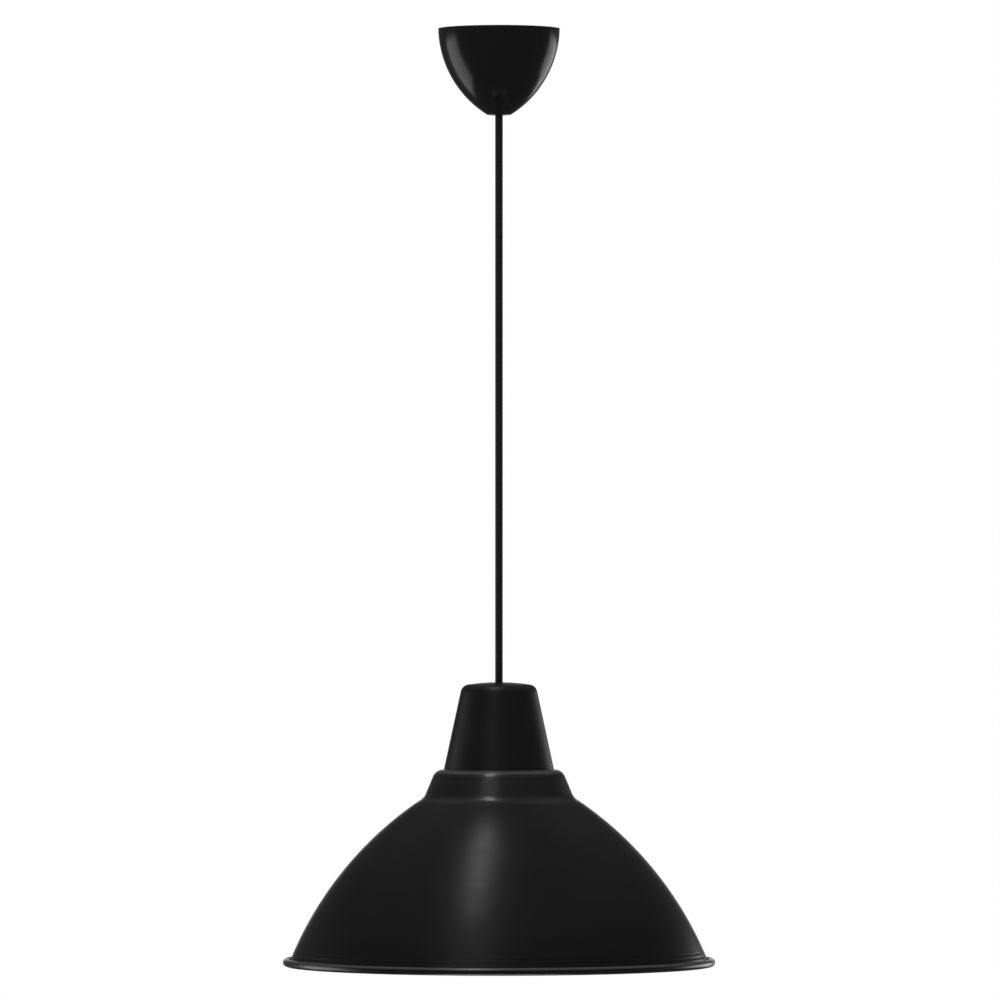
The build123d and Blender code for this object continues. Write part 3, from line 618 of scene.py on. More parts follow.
facets = setting(IntProperty, min=24)
quantity = setting(IntProperty, min=0)
metres = setting(FloatProperty, min=0.0, precision=5, unit="LENGTH")
elevation = setting(FloatProperty, unit="LENGTH")
rotation = setting(FloatProperty, subtype="ANGLE")
share = setting(FloatProperty, min=0.0, max=1.0, subtype="FACTOR")
colour = setting(FloatVectorProperty, min=0.0, max=1.0, size=3, subtype="COLOR")
place = setting(FloatVectorProperty, size=3, subtype="TRANSLATION")
rectangle = setting(FloatVectorProperty, size=2, unit="LENGTH")
level = setting(FloatProperty, min=0.0)
focus = setting(FloatProperty, min=1.0, unit="CAMERA")

LAMP_SIZE = "Width and height of the lamp"
LAMP_LEVEL = "How bright the lamp is seen; white paper is 1"


class PENDANT_PG_shade(bpy.types.PropertyGroup):
    """The shade's outline and finishes."""

    columns: facets("Columns", "Facets round the axis", 240)
    wall: metres("Sheet", "Thickness of the sheet", 0.001)
    hole_radius: metres("Hole", "Radius of the hole in the flat top", 0.0203)
    neck_radius: metres("Neck", "Radius where the neck's slope meets the flat top", 0.0555)
    neck_angle: rotation("Neck lean", "Lean of the neck's slope from upright", math.radians(22.65))
    neck_depth: metres("Neck depth", "Height of the neck down to the dome", 0.0246)
    shoulder_radius: metres("Shoulder", "Rounding between flat top and neck", 0.010)
    waist_radius: metres("Waist", "Hollow rounding between neck and dome", 0.012)
    dome_radius: metres("Dome", "Radius of the dome's outline", 0.3107)
    bead_radius: metres("Bead", "Radius of the rolled rim", 0.0034)
    bead_turn: rotation("Bead turn", "How far the rim is rolled outwards", math.radians(295.0))
    outside_dark: colour("Outside", "Paint in the darker streaks", (0.0026, 0.0026, 0.0027))
    outside_light: colour("Outside, light", "Paint in the lighter streaks", (0.0044, 0.0044, 0.0046))
    # The crest colour is a painted highlight, a paler line along the crests of the rolled rim and the shoulder
    crest_highlight: colour("Crest", "Thin paint along the crests of rim and shoulder", (0.04, 0.04, 0.041))
    gloss: share("Gloss", "Weight of the glossy coat on the neck and the rolled rim", 0.6)
    outside_roughness: share("Outside roughness", "Roughness of the black paint", 0.31)
    outside_specular: share("Outside gloss", "Specular level of the black paint", 0.30)
    ring_depth: metres("Ring depth", "Depth of the rings left by spinning", 0.00004)
    ring_pitch: metres("Ring pitch", "Spacing of the two rings just above the rim", 0.0035)
    inside_dark: colour("Inside", "Enamel in the darker clouds", (0.74, 0.735, 0.71))
    inside_light: colour("Inside, light", "Enamel in the lighter clouds", (0.80, 0.795, 0.775))


class PENDANT_PG_cup(bpy.types.PropertyGroup):
    """The ceiling cup's outline and finish."""

    columns: facets("Columns", "Facets round the axis", 192)
    arc_radius: metres("Side", "Radius of the cup's outline", 0.0912)
    wall: metres("Wall", "Thickness of the wall", 0.002)
    seat_radius: metres("Socket", "Radius of the ball socket", 0.0081)
    mouth_land: metres("Land", "Flat ring round the mouth", 0.003)
    mouth_rounding: metres("Mouth edge", "Rounding of the mouth's outer edge", 0.0008)
    collar_wall: metres("Collar wall", "Wall of the collar round the socket", 0.0032)
    collar_rise: metres("Collar rise", "Height of the collar above the swing's axis", 0.0065)
    throat_radius: metres("Throat", "Radius of the opening at the swing's axis", 0.003865)
    throat_angle: rotation("Throat lean", "How far the cord can lean", math.radians(20.0))
    dark: colour("Colour", "Plastic in the darker flow marks", (0.0056, 0.0056, 0.0057))
    light: colour("Colour, light", "Plastic in the lighter flow marks", (0.0070, 0.0070, 0.0071))
    roughness: share("Roughness", "Roughness of the polished skin", 0.20)
    specular: share("Gloss", "Specular level", 0.30)


class PENDANT_PG_cover(bpy.types.PropertyGroup):
    """The cone cover's outline and finish."""

    columns: facets("Columns", "Facets round the axis", 192)
    top_radius: metres("Top", "Radius at the top, before rounding", 0.0319)
    crown_radius: metres("Crown", "Radius of the crowned top", 0.19)
    wall: metres("Wall", "Thickness of the wall", 0.002)
    edge_rounding: metres("Top edge", "Rounding of the top edge", 0.008)
    hole_gap: metres("Cord gap", "Gap between the cord and the hole", 0.0004)
    dark: colour("Colour", "Plastic in the darker clouds", (0.0046, 0.0046, 0.0047))
    light: colour("Colour, light", "Plastic in the lighter clouds", (0.0064, 0.0064, 0.0065))
    roughness: share("Roughness", "Roughness of the grain", 0.36)
    specular: share("Gloss", "Specular level", 0.30)


class PENDANT_PG_cord(bpy.types.PropertyGroup):
    """The cord and its cores."""

    diameter: metres("Diameter", "Diameter of the sheath", 0.0067)
    core_diameter: metres("Core", "Diameter of an insulated core", 0.0022)
    core_pitch: metres("Core pitch", "Distance between the cores in the sheath", 0.0025)
    core_lift: metres("Core lift", "Straight run of a core into the clamp's window and onto its post", 0.0045)
    core_rise: metres("Core rise", "How far a core climbs as it turns to the block", 0.0015)
    core_spread: metres("Core spread", "How far a core stands aside at that turn", 0.0026)
    core_clear: metres("Core gap", "Gap between a core and the terminal block", 0.0003)
    core_drop: metres("Core drop", "Straight run of a core below the sheath's lower end", 0.0035)
    post_radius: metres("Post", "Radius of the lampholder's terminal posts", 0.0032)
    straight: metres("Straight ends", "Straight run at each end of the cord", 0.04)
    bend_above: metres("Bend above", "How far above the swing's axis the bend starts", 0.008)
    bend_below: metres("Bend below", "How far below the swing's axis the bend ends", 0.003)
    dark: colour("Colour", "Sheath in the darker clouds", (0.0062, 0.0062, 0.0063))
    light: colour("Colour, light", "Sheath in the lighter clouds", (0.0098, 0.0098, 0.0099))
    specular: share("Gloss", "Specular level", 0.30)
    live_dark: colour("Live", "Live core in the darker clouds", (0.10, 0.035, 0.012))
    live_light: colour("Live, light", "Live core in the lighter clouds", (0.15, 0.055, 0.020))
    neutral_dark: colour("Neutral", "Neutral core in the darker clouds", (0.012, 0.075, 0.26))
    neutral_light: colour("Neutral, light", "Neutral core in the lighter clouds", (0.020, 0.11, 0.34))


class PENDANT_PG_holder(bpy.types.PropertyGroup):
    """The lampholder's cap and body, its screw shell and the ring nut."""

    columns: facets("Columns", "Facets round the axis", 144)
    touch_gap: metres("Touch gap", "Gap between the shade and the faces that hold it", 0.00002)
    cap_wall: metres("Cap wall", "Wall of the cap", 0.0025)
    cap_straight: metres("Cap side", "Height of the cap's straight side", 0.014)
    cap_shoulder: metres("Cap shoulder", "Rounding between the cap's side and its cone", 0.003)
    cap_neck: metres("Cap neck", "Radius of the cap's top", 0.0095)
    cord_gap: metres("Cord gap", "Gap between the cord and the cap's hole", 0.00005)
    ribs: quantity("Ribs", "Grip ribs round the lampholder cap", 48)
    rib_depth: metres("Rib depth", "Depth between the grip ribs", 0.0007)
    rib_run: metres("Rib run", "Height over which the grip ribs fade out", 0.002)
    collar_wall: metres("Collar wall", "Wall of the collar that the cap screws on", 0.0028)
    thread_gap: metres("Thread gap", "Gap between threads that screw together", 0.00015)
    flange: metres("Flange", "Thickness of the flange on the shade", 0.003)
    skirt_radius: metres("Skirt", "Radius over the skirt's thread", 0.0197)
    skirt_wall: metres("Skirt wall", "Wall of the skirt", 0.0032)
    skirt_pitch: metres("Skirt pitch", "Pitch of the skirt's thread", 0.0025)
    skirt_depth: metres("Skirt thread", "Depth of the skirt's thread", 0.0007)
    ledge: metres("Ledge", "Thickness of the ledge above the shell", 0.003)
    ledge_hole: metres("Ledge hole", "Radius of the hole in the ledge", 0.0126)
    shell_wall: metres("Shell", "Thickness of the screw shell", 0.0004)
    shell_rim: metres("Shell rim", "Width of the shell's rim under the ledge", 0.003)
    ring_radius: metres("Ring nut", "Radius of the ring nut", 0.028)
    notches: quantity("Notches", "Finger notches round the ring nut", 12)
    notch_radius: metres("Notch", "Radius of a finger notch", 0.003)
    notch_depth: metres("Notch depth", "Depth of a finger notch", 0.0016)


class PENDANT_PG_bulb(bpy.types.PropertyGroup):
    """The bulb's screw cap, housing and globe."""

    columns: facets("Columns", "Facets round the axis", 144)
    pitch: metres("Pitch", "Pitch of the screw cap's thread", 0.0254 / 7)
    depth: metres("Thread", "Depth of the screw cap's thread", 0.0010)
    cap_wall: metres("Cap wall", "Wall of the screw cap", 0.0005)
    cap_rim: metres("Cap rim", "Width of the slope round the cap's top", 0.0025)
    eye: metres("Eye", "Radius of the hole round the tip", 0.0045)
    neck: metres("Neck", "Radius of the housing under the cap", 0.0143)
    bulge: metres("Bulge", "Radius of the housing's outline", 0.095)
    housing_wall: metres("Housing wall", "Wall of the housing", 0.0018)
    spigot_gap: metres("Spigot gap", "Gap between the housing's spigot and the cap", 0.0001)
    spigot_length: metres("Spigot", "Length of the spigot inside the cap", 0.012)
    globe_wall: metres("Globe wall", "Wall of the globe", 0.0012)
    globe_dark: colour("Globe", "Globe in the darker clouds", (0.76, 0.755, 0.74))
    globe_light: colour("Globe, light", "Globe in the lighter clouds", (0.82, 0.815, 0.80))


class PENDANT_PG_fixing(bpy.types.PropertyGroup):
    """The hook, its nuts and the screws."""

    wire_diameter: metres("Hook wire", "Diameter of the hook's wire", 0.004)
    bend_radius: metres("Hook bend", "Radius of the bend under the shank", 0.003)
    bowl_radius: metres("Hook bowl", "Radius of the bowl", 0.0065)
    hook_pitch: metres("Hook pitch", "Pitch of the shank's thread", 0.0007)
    hook_thread: metres("Hook thread", "Depth of the shank's thread", 0.00035)
    hook_plain: metres("Hook plain", "Plain run of the shank above the bend", 0.002)
    nut_flats: metres("Nut", "Width of the nuts across their flats", 0.007)
    nut_gap: metres("Nut gap", "Gap between a nut and the shank", 0.00005)
    plate: metres("Plate", "Thickness of the bracket between the nuts", 0.0015)
    slot_width: metres("Slot", "Width of the screws' slots", 0.0007)
    slot_depth: metres("Slot depth", "Depth of the screws' slots", 0.0008)
    head_radius: metres("Head", "Radius of the clamp screws' heads", 0.0028)
    head_height: metres("Head height", "Height of a screw's head", 0.002)
    head_rounding: metres("Head rounding", "How far a screw head is domed", 0.0005)
    shank_radius: metres("Shank", "Radius of the screws", 0.0015)
    grub_length: metres("Grub screw", "Length of the headless screws in the block", 0.004)


class PENDANT_PG_studio(bpy.types.PropertyGroup):
    """The camera, the lamps and the floor."""

    lens: focus("Lens", "Focal length in millimetres", 313.0)
    camera: place("Camera", "Where the camera stands", (0.0009, -7.64, -0.476))
    aim: place("Aim", "What the middle of the picture looks at", (0.0009, 0.0, -0.4144))
    floor_z: elevation("Floor", "Height of the floor", -2.1)
    floor_radius: metres("Floor radius", "Radius of the floor, which fades out towards its edge", 0.7)
    floor_colour: colour("Floor colour", "Colour of the plain floor", (0.86, 0.86, 0.86))
    surround: share("Surround", "Strength of the light that comes from all round", 0.75)
    walls: share("Walls", "Strength of the dark walls of the studio in reflections", 0.065)
    ceiling: share("Ceiling", "Strength of the paler ceiling of the studio in reflections", 0.22)
    left_box: place("Left box", "Where the tall box on the left stands", (-2.2, 0.67, -1.09))
    left_size: rectangle("Left box size", LAMP_SIZE, (1.5, 1.85))
    left_radiance: level("Left box radiance", LAMP_LEVEL, 1.8)
    right_box: place("Right box", "Where the wide box behind on the right stands", (2.83, 2.83, -0.94))
    right_size: rectangle("Right box size", LAMP_SIZE, (2.7, 1.62))
    right_radiance: level("Right box radiance", LAMP_LEVEL, 1.5)
    strip: place("Strip", "Where the middle of the strip overhead hangs", (-0.25, -0.42, 0.65))
    strip_size: rectangle("Strip size", LAMP_SIZE, (0.15, 1.05))
    strip_turn: rotation("Strip turn", "Turn of the strip about the vertical", math.radians(-13.0))
    strip_radiance: level("Strip radiance", LAMP_LEVEL, 6.5)
    front_panel: place("Front panel", "Where the dim panel above the camera hangs", (-0.6, -1.9, 0.75))
    front_size: rectangle("Front panel size", LAMP_SIZE, (0.9, 1.4))
    front_radiance: level("Front panel radiance", LAMP_LEVEL, 0.5)
    low_panel: place("Low panel", "Where the panel under the shade lies", (0.0, 0.0, -2.08))
    low_size: rectangle("Low panel size", LAMP_SIZE, (0.8, 0.8))
    low_radiance: level("Low panel radiance", LAMP_LEVEL, 2.0)


# Pieces


def shade_outline(size):
    """Closed outline of the spun sheet. Both skins are arcs about the same centres: shoulder, waist, dome
    and bead. The dome's circle passes through the waist's corner and touches the bead. The second value
    tells, for each point, whether it lies on the white inside."""
    top = high("shade").z
    rim = high("shade").x
    lean = size.neck_angle
    way = np.array((math.sin(lean), -math.cos(lean)))
    out = np.array((math.cos(lean), math.sin(lean)))
    neck = np.array((size.neck_radius, top))
    waist_corner = neck + np.array((size.neck_depth * math.tan(lean), -size.neck_depth))
    bead = np.array((rim - size.bead_radius, low("shade").z + size.bead_radius))
    shoulder_run = size.shoulder_radius * (1 - math.sin(lean)) / math.cos(lean)
    shoulder = neck - np.array((shoulder_run, size.shoulder_radius))
    reach = size.dome_radius + size.bead_radius - size.wall
    span = bead - waist_corner
    chord = np.linalg.norm(span)
    turn = -math.acos((size.dome_radius**2 + chord**2 - reach**2) / (2 * size.dome_radius * chord))
    spin = np.array(((math.cos(turn), -math.sin(turn)), (math.sin(turn), math.cos(turn))))
    dome = waist_corner + spin @ (span / chord) * size.dome_radius
    offset = neck + out * size.waist_radius - dome
    along = offset @ way
    slide = -along - math.sqrt(along**2 - offset @ offset + (size.dome_radius + size.waist_radius) ** 2)
    waist = neck + out * size.waist_radius + way * slide
    lean_degrees = math.degrees(lean)
    waist_end = bearing(waist, dome) % 360
    dome_end = bearing(dome, bead)
    bead_end = dome_end + 180 + math.degrees(size.bead_turn)

    def skin(depth):
        flat = np.linspace((size.hole_radius, top - depth), (shoulder[0], top - depth), num=8)[:-1]
        sheet = np.vstack(
            (
                flat,
                arc(shoulder, size.shoulder_radius - depth, 90, lean_degrees, count=14),
                arc(waist, size.waist_radius + depth, lean_degrees + 180, waist_end, count=14),
                arc(dome, size.dome_radius - depth, bearing(dome, waist), dome_end, count=90)[1:],
            )
        )
        curl = arc(bead, size.bead_radius - size.wall + depth, dome_end + 180, bead_end, count=44)[1:]
        return sheet, curl

    outer_sheet, inner_curl = skin(0.0)
    inner_sheet, outer_curl = skin(size.wall)
    outline = np.vstack((outer_sheet, inner_curl, outer_curl[::-1], inner_sheet[::-1]))
    white = np.zeros(len(outline), bool)
    white[-len(inner_sheet) :] = True
    return outline, white


class PENDANT_OT_shade(bpy.types.Operator):
    """Spin the shade, black outside and white inside"""

    bl_idname = "pendant.shade"
    bl_label = "Shade"

    def execute(self, context):
        size = context.scene.pendant_shade
        outline, white = shade_outline(size)
        grid = turned(outline, size.columns)
        finishes = [shade_outside(size), shade_inside(size)]
        piece = add_piece("shade_shell", [grid], finishes, "shade_paint", "shade")
        inside = np.repeat(white & np.roll(white, -1), size.columns).astype(np.int32)
        piece.data.polygons.foreach_set("material_index", inside)
        return {"FINISHED"}


def cup_outline(size):
    """Closed outline of the cup's wall: an arc from the rim to the mouth's rounded edge, the ball socket, the
    throat's cone, the collar and an arc back about the first one's centre. Socket and cone meet at the height
    h where (throat radius + slope h) squared + h squared is the socket's radius squared."""
    bottom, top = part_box("ceiling_cup")
    depth = PIVOT_Z - bottom.z
    socket_mouth = math.sqrt(size.seat_radius**2 - depth**2)
    start = np.array((top.x, top.z))
    end = np.array((socket_mouth + size.mouth_land, bottom.z))
    centre = arc_centre(start, end, size.arc_radius)
    lift = bottom.z + size.mouth_rounding
    edge_reach = size.arc_radius - size.mouth_rounding
    edge = (centre[0] + math.sqrt(edge_reach**2 - (lift - centre[1]) ** 2), lift)
    slope = math.tan(size.throat_angle)
    square = 1 + slope**2
    shared = size.throat_radius * slope
    gap = size.seat_radius**2 - size.throat_radius**2
    throat_rise = (math.sqrt(shared**2 + square * gap) - shared) / square
    socket_start = -math.degrees(math.asin(depth / size.seat_radius))
    socket_end = math.degrees(math.asin(throat_rise / size.seat_radius))
    collar = size.seat_radius + size.collar_wall
    collar_top = PIVOT_Z + size.collar_rise
    inner = size.arc_radius - size.wall
    inner_start = -math.degrees(math.acos((collar - centre[0]) / inner))
    inner_end = math.degrees(math.asin((top.z - centre[1]) / inner))
    return np.vstack(
        (
            arc(centre, size.arc_radius, bearing(centre, start), bearing(centre, edge), count=70),
            arc(edge, size.mouth_rounding, bearing(centre, edge), -90, count=7)[1:],
            arc((0.0, PIVOT_Z), size.seat_radius, socket_start, socket_end, count=24),
            [(size.throat_radius + slope * size.collar_rise, collar_top), (collar, collar_top)],
            arc(centre, inner, inner_start, inner_end, count=60),
        )
    )


class PENDANT_OT_cup(bpy.types.Operator):
    """Mould the ceiling cup round its ball socket"""

    bl_idname = "pendant.cup"
    bl_label = "Ceiling cup"

    def execute(self, context):
        size = context.scene.pendant_cup
        grid = turned(cup_outline(size), size.columns)
        add_piece("cup_shell", [grid], [cup_black(size)], "cup_plastic", "ceiling_cup")
        return {"FINISHED"}


def cover_outline(size, hole):
    """Closed outline of the cone's wall. Both sides are arcs about the same centres, the crown's and the
    edge's, and a straight slope. The edge's circle touches the slope and the crown from inside."""
    foot = np.array((high("lampholder_cover").x, low("lampholder_cover").z))
    crown = np.array((0, high("lampholder_cover").z - math.sqrt(size.crown_radius**2 - hole**2)))
    way = np.array((size.top_radius, crown[1] + size.crown_radius)) - foot
    way /= np.linalg.norm(way)
    out = np.array((way[1], -way[0]))
    start = foot - out * size.edge_rounding - crown
    along = start @ way
    reach = size.crown_radius - size.edge_rounding
    edge = crown + start + way * (math.sqrt(along**2 - start @ start + reach**2) - along)
    turn = bearing(crown, edge)

    def side(depth):
        radius = size.crown_radius - depth
        top = arc(crown, radius, math.degrees(math.acos(hole / radius)), turn, count=24)
        rim = arc(edge, size.edge_rounding - depth, turn, bearing((0, 0), out), count=20)
        return np.vstack((top, rim[1:], foot - (depth / out[0], 0)))

    return np.vstack((side(0), side(size.wall)[::-1]))


class PENDANT_OT_cover(bpy.types.Operator):
    """Mould the cone cover over the lampholder"""

    bl_idname = "pendant.cover"
    bl_label = "Lampholder cover"

    def execute(self, context):
        size = context.scene.pendant_cover
        hole = context.scene.pendant_cord.diameter / 2 + size.hole_gap
        grid = turned(fine(cover_outline(size, hole), CONE_STEP), size.columns)
        add_piece("cover_shell", [grid], [cover_black(size)], "cover_plastic", "lampholder_cover")
        return {"FINISHED"}


class PENDANT_OT_cord(bpy.types.Operator):
    """Draw the cord from its clamp to the lampholder"""

    bl_idname = "pendant.cord"
    bl_label = "Cord"

    def execute(self, context):
        size = context.scene.pendant_cord
        top = high("upper_cord").z
        tail = low("pendant_cord").z
        route = [(0, 0, top), (0, 0, top - size.straight), (0, 0, tail + size.straight), (0, 0, tail)]
        path = smooth_line("cord_route", route, resolution=160)
        tube = swept(path, size.diameter / 2, sides=32, aside=(1, 0, 0))
        cord = add_surface("cord", [tube], [cord_black(size)], closed=False)
        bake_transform(cord)
        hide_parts("upper_cord", "pendant_cord")
        return {"FINISHED"}


class PENDANT_OT_cores(bpy.types.Operator):
    """Draw the cores from the cord's upper end to the block, and from its lower end to the posts"""

    bl_idname = "pendant.cores"
    bl_label = "Cores"

    def execute(self, context):
        size = context.scene.pendant_cord
        live = insulation("live_core", size.live_dark, size.live_light)
        neutral = insulation("neutral_core", size.neutral_dark, size.neutral_light)
        cores = [("live", -1, live, "brown_insulation"), ("neutral", 1, neutral, "blue_insulation")]
        for name, side, finish, slot in cores:
            runs = {"wire": (self.upper(size, side), (1, 0, 0)), "lead": (self.lower(size, side), (0, 1, 0))}
            for run, (route, aside) in runs.items():
                core = f"{name}_{run}_core"
                path = smooth_line(f"{core}_route", route, resolution=24)
                tube = swept(path, size.core_diameter / 2, sides=20, aside=aside)
                add_piece(core, [tube], [finish], slot, f"{name}_{run}", closed=False)
        return {"FINISHED"}

    def upper(self, size, side):
        """Route out of the sheath, aside through the clamp's window and into the block."""
        start_z = high("upper_cord").z
        sleeve_low, sleeve_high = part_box("terminal_sleeves")
        sleeve_radius = (sleeve_high.z - sleeve_low.z) / 2
        pole_x = side * (sleeve_high.x - sleeve_radius)
        pole_z = sleeve_low.z + sleeve_radius
        out_y = low("terminal_block").y - size.core_diameter - size.core_clear
        return [
            (side * size.core_pitch / 2, 0, start_z),
            (side * size.core_pitch / 2, 0, start_z + size.core_lift),
            (side * size.core_spread, out_y, start_z + size.core_lift + size.core_rise),
            (pole_x, out_y, pole_z),
            (pole_x, sleeve_low.y, pole_z),
        ]

    def lower(self, size, side):
        """Route out of the sheath, aside and down onto a post."""
        tail = low("pendant_cord").z
        post = high("holder_terminals")
        post_x = side * (post.x - size.post_radius)
        return [
            (side * size.core_pitch / 2, 0, tail),
            (side * size.core_pitch / 2, 0, tail - size.core_drop),
            (post_x, 0, post.z + size.core_lift),
            (post_x, 0, post.z),
        ]


def holder_cap(size, hole):
    """Lampholder cap: a straight side, a cone and a neck round the cord's hole. Ribs lower the straight
    side by the rib depth times (1 - cos n a) / 2 and fade out at its ends."""
    bottom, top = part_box("lampholder_cap")
    bore = top.x - size.cap_wall
    shoulder = bottom.z + size.cap_straight
    roof = top.z - size.cap_wall
    corners = [
        (bore, bottom.z, CRISP),
        (top.x, bottom.z, EASED),
        (top.x, shoulder, size.cap_shoulder),
        (size.cap_neck, top.z, SOFT),
        (hole, top.z, CRISP),
        (hole, roof, 0.0),
        (size.cap_neck - size.cap_wall, roof, 0.0),
        (bore, shoulder - size.cap_wall, 0.0),
    ]
    outline = fine(rounded(corners), size.rib_run / 2)
    reach, height = outline[:, :1], outline[:, 1:]
    columns = size.columns * 2
    wave = 0.5 - 0.5 * np.cos(size.ribs * around(columns))
    ends = ramp(height, bottom.z + SOFT, bottom.z + size.rib_run)
    ends = ends * ramp(height, shoulder - size.rib_run, shoulder - 2 * size.rib_run)
    outside = ramp(reach, bore + SOFT, bore + SOFT + EASED)
    return turned(outline, columns, -size.rib_depth * wave * ends * outside)


def holder_body(size):
    """Lampholder body: a collar for the cap, a flange that stands on the shade, a skirt and a ledge that
    carries the contacts, all turned from one outline. The skirt's outside has a thread's relief."""
    bottom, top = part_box("lampholder_body")
    plateau = high("shade").z
    flange = plateau + size.flange
    ledge = plateau - size.ledge
    collar = high("lampholder_cap").x - size.cap_wall - size.thread_gap
    bore = collar - size.collar_wall
    skirt = size.skirt_radius
    inside = skirt - size.skirt_wall
    corners = [
        (bore, top.z, CRISP),
        (collar, top.z, EASED),
        (collar, flange, 0.0),
        (top.x, flange, EASED),
        (top.x, plateau + size.touch_gap, CRISP),
        (skirt, plateau + size.touch_gap, 0.0),
        (skirt, bottom.z, SOFT),
        (inside, bottom.z, EASED),
        (inside, ledge, 0.0),
        (size.ledge_hole, ledge, 0.0),
        (size.ledge_hole, plateau, 0.0),
        (bore, plateau, 0.0),
    ]
    outline = fine(rounded(corners), size.skirt_pitch / THREAD_ROWS)
    reach, height = outline[:, :1], outline[:, 1:]
    on_skirt = (np.abs(reach - skirt) < SOFT) & (height < plateau)
    turn = around(size.columns)
    screw = thread(height, turn, size.skirt_pitch, size.skirt_depth, bottom.z, plateau - SOFT, SOFT)
    return turned(outline, size.columns, screw * on_skirt)


def screw_shell(size, pitch, depth):
    """Brass shell with a rim under the ledge, turned from a thin outline. Both sides of its wall have the
    relief of the bulb's thread, as pressed sheet does."""
    bottom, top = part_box("screw_shell")
    wall = top.x - size.shell_wall
    rim = top.x - size.shell_rim
    corners = [
        (rim, top.z),
        (top.x, top.z),
        (top.x, bottom.z),
        (wall, bottom.z),
        (wall, top.z - size.shell_wall),
        (rim, top.z - size.shell_wall),
    ]
    outline = fine(np.array(corners), pitch / THREAD_ROWS)
    turn = around(size.columns)
    top_end = top.z - 2 * size.shell_wall
    screw = thread(outline[:, 1:], turn, pitch, depth, bottom.z, top_end, pitch / 2)
    return turned(outline, size.columns, screw * (outline[:, :1] > wall - EASED))


class PENDANT_OT_holder(bpy.types.Operator):
    """Turn the lampholder's cap, its threaded body and the screw shell"""

    bl_idname = "pendant.holder"
    bl_label = "Lampholder"

    def execute(self, context):
        size = context.scene.pendant_holder
        bulb = context.scene.pendant_bulb
        hole = context.scene.pendant_cord.diameter / 2 + size.cord_gap
        black = holder_black()
        add_piece("holder_cap", [holder_cap(size, hole)], [black], "holder_plastic", "lampholder_cap")
        add_piece("holder_body", [holder_body(size)], [black], "holder_plastic", "lampholder_body")
        shell = screw_shell(size, bulb.pitch, bulb.depth)
        add_piece("shell_thread", [shell], [brass()], "brass", "screw_shell")
        return {"FINISHED"}


def finger_notches(size, turn):
    """How far the rim is cut in at an angle: the near side of circles of the notch's radius, evenly spaced
    round the rim with their centres outside it."""
    rim = size.ring_radius
    pitch = 2 * np.pi / size.notches
    swing = (turn + pitch / 2) % pitch - pitch / 2
    middle = rim + size.notch_radius - size.notch_depth
    chord = np.clip(size.notch_radius**2 - (middle * np.sin(swing)) ** 2, 0, None)
    near = middle * np.cos(swing) - np.sqrt(chord)
    return np.where(chord > 0, np.minimum(near, rim), rim) - rim


def ring_nut(size):
    """Ring nut: a flat ring with finger notches in its rim and the skirt's thread in its bore. The notches
    fade in from 2.5 to 1.25 of their depth inside the rim."""
    under = low("shade_ring").z
    top = high("shade_ring").z - size.touch_gap
    rim = size.ring_radius
    bore = size.skirt_radius + size.thread_gap
    corners = [(bore, top, CRISP), (rim, top, SOFT), (rim, under, SOFT), (bore, under, CRISP)]
    outline = fine(rounded(corners), size.skirt_pitch / THREAD_ROWS)
    reach, height = outline[:, :1], outline[:, 1:]
    columns = size.columns * 2
    turn = around(columns)
    at_rim = ramp(reach, rim - 2.5 * size.notch_depth, rim - 1.25 * size.notch_depth)
    screw = thread(height, turn, size.skirt_pitch, size.skirt_depth, under, top, size.skirt_pitch)
    relief = finger_notches(size, turn) * at_rim + screw * (reach < bore + CRISP)
    return turned(outline, columns, relief)


class PENDANT_OT_ring(bpy.types.Operator):
    """Turn the ring nut with its finger notches and thread"""

    bl_idname = "pendant.ring"
    bl_label = "Ring nut"

    def execute(self, context):
        grid = ring_nut(context.scene.pendant_holder)
        add_piece("ring_nut", [grid], [holder_black()], "holder_plastic", "shade_ring")
        return {"FINISHED"}


def bulb_cap(size):
    """Screw cap: a thin wall with a sloped rim and a top with an eye, turned from one outline. Both sides of
    the wall have the relief of the thread, as rolled sheet does, and it fades out on the slope."""
    bottom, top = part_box("bulb_cap")
    inside = top.x - size.cap_wall
    slope = top.z - size.cap_rim
    corners = [
        (size.eye, top.z, 0.0),
        (top.x - size.cap_rim, top.z, SOFT),
        (top.x, slope, SOFT),
        (top.x, bottom.z, CRISP),
        (inside, bottom.z, CRISP),
        (inside, slope, 0.0),
        (inside - size.cap_rim, top.z - size.cap_wall, 0.0),
        (size.eye, top.z - size.cap_wall, 0.0),
    ]
    outline = fine(rounded(corners), size.pitch / THREAD_ROWS)
    reach, height = outline[:, :1], outline[:, 1:]
    on_wall = ramp(reach, inside - 1.5 * size.cap_rim, inside - 0.5 * size.cap_rim)
    turn = around(size.columns)
    top_end = top.z + size.pitch
    screw = thread(height, turn, size.pitch, size.depth, bottom.z + SOFT, top_end, size.pitch / 2)
    return turned(outline, size.columns, screw * on_wall)


def bulb_housing(size):
    """Housing: a wall between two bulging arcs, a floor, and a spigot that goes up into the cap, turned from
    one outline."""
    under = low("bulb_housing").z
    edge = high("bulb_housing").x
    neck_z = low("bulb_cap").z
    wall = size.housing_wall
    spigot = high("bulb_cap").x - size.cap_wall - size.depth - size.spigot_gap
    spigot_z = neck_z + size.spigot_length

    def side(inset):
        start = np.array((size.neck - inset, neck_z))
        end = np.array((edge - inset, under + inset))
        centre = arc_centre(start, end, size.bulge)
        return arc(centre, size.bulge, bearing(centre, start), bearing(centre, end), count=40)

    floor = [(0.0, under), (0.0, under + wall)]
    top = [(spigot - wall, neck_z + wall), (spigot - wall, spigot_z), (spigot, spigot_z), (spigot, neck_z)]
    return turned(np.vstack((side(0.0), floor, side(wall)[::-1], top)), size.columns)


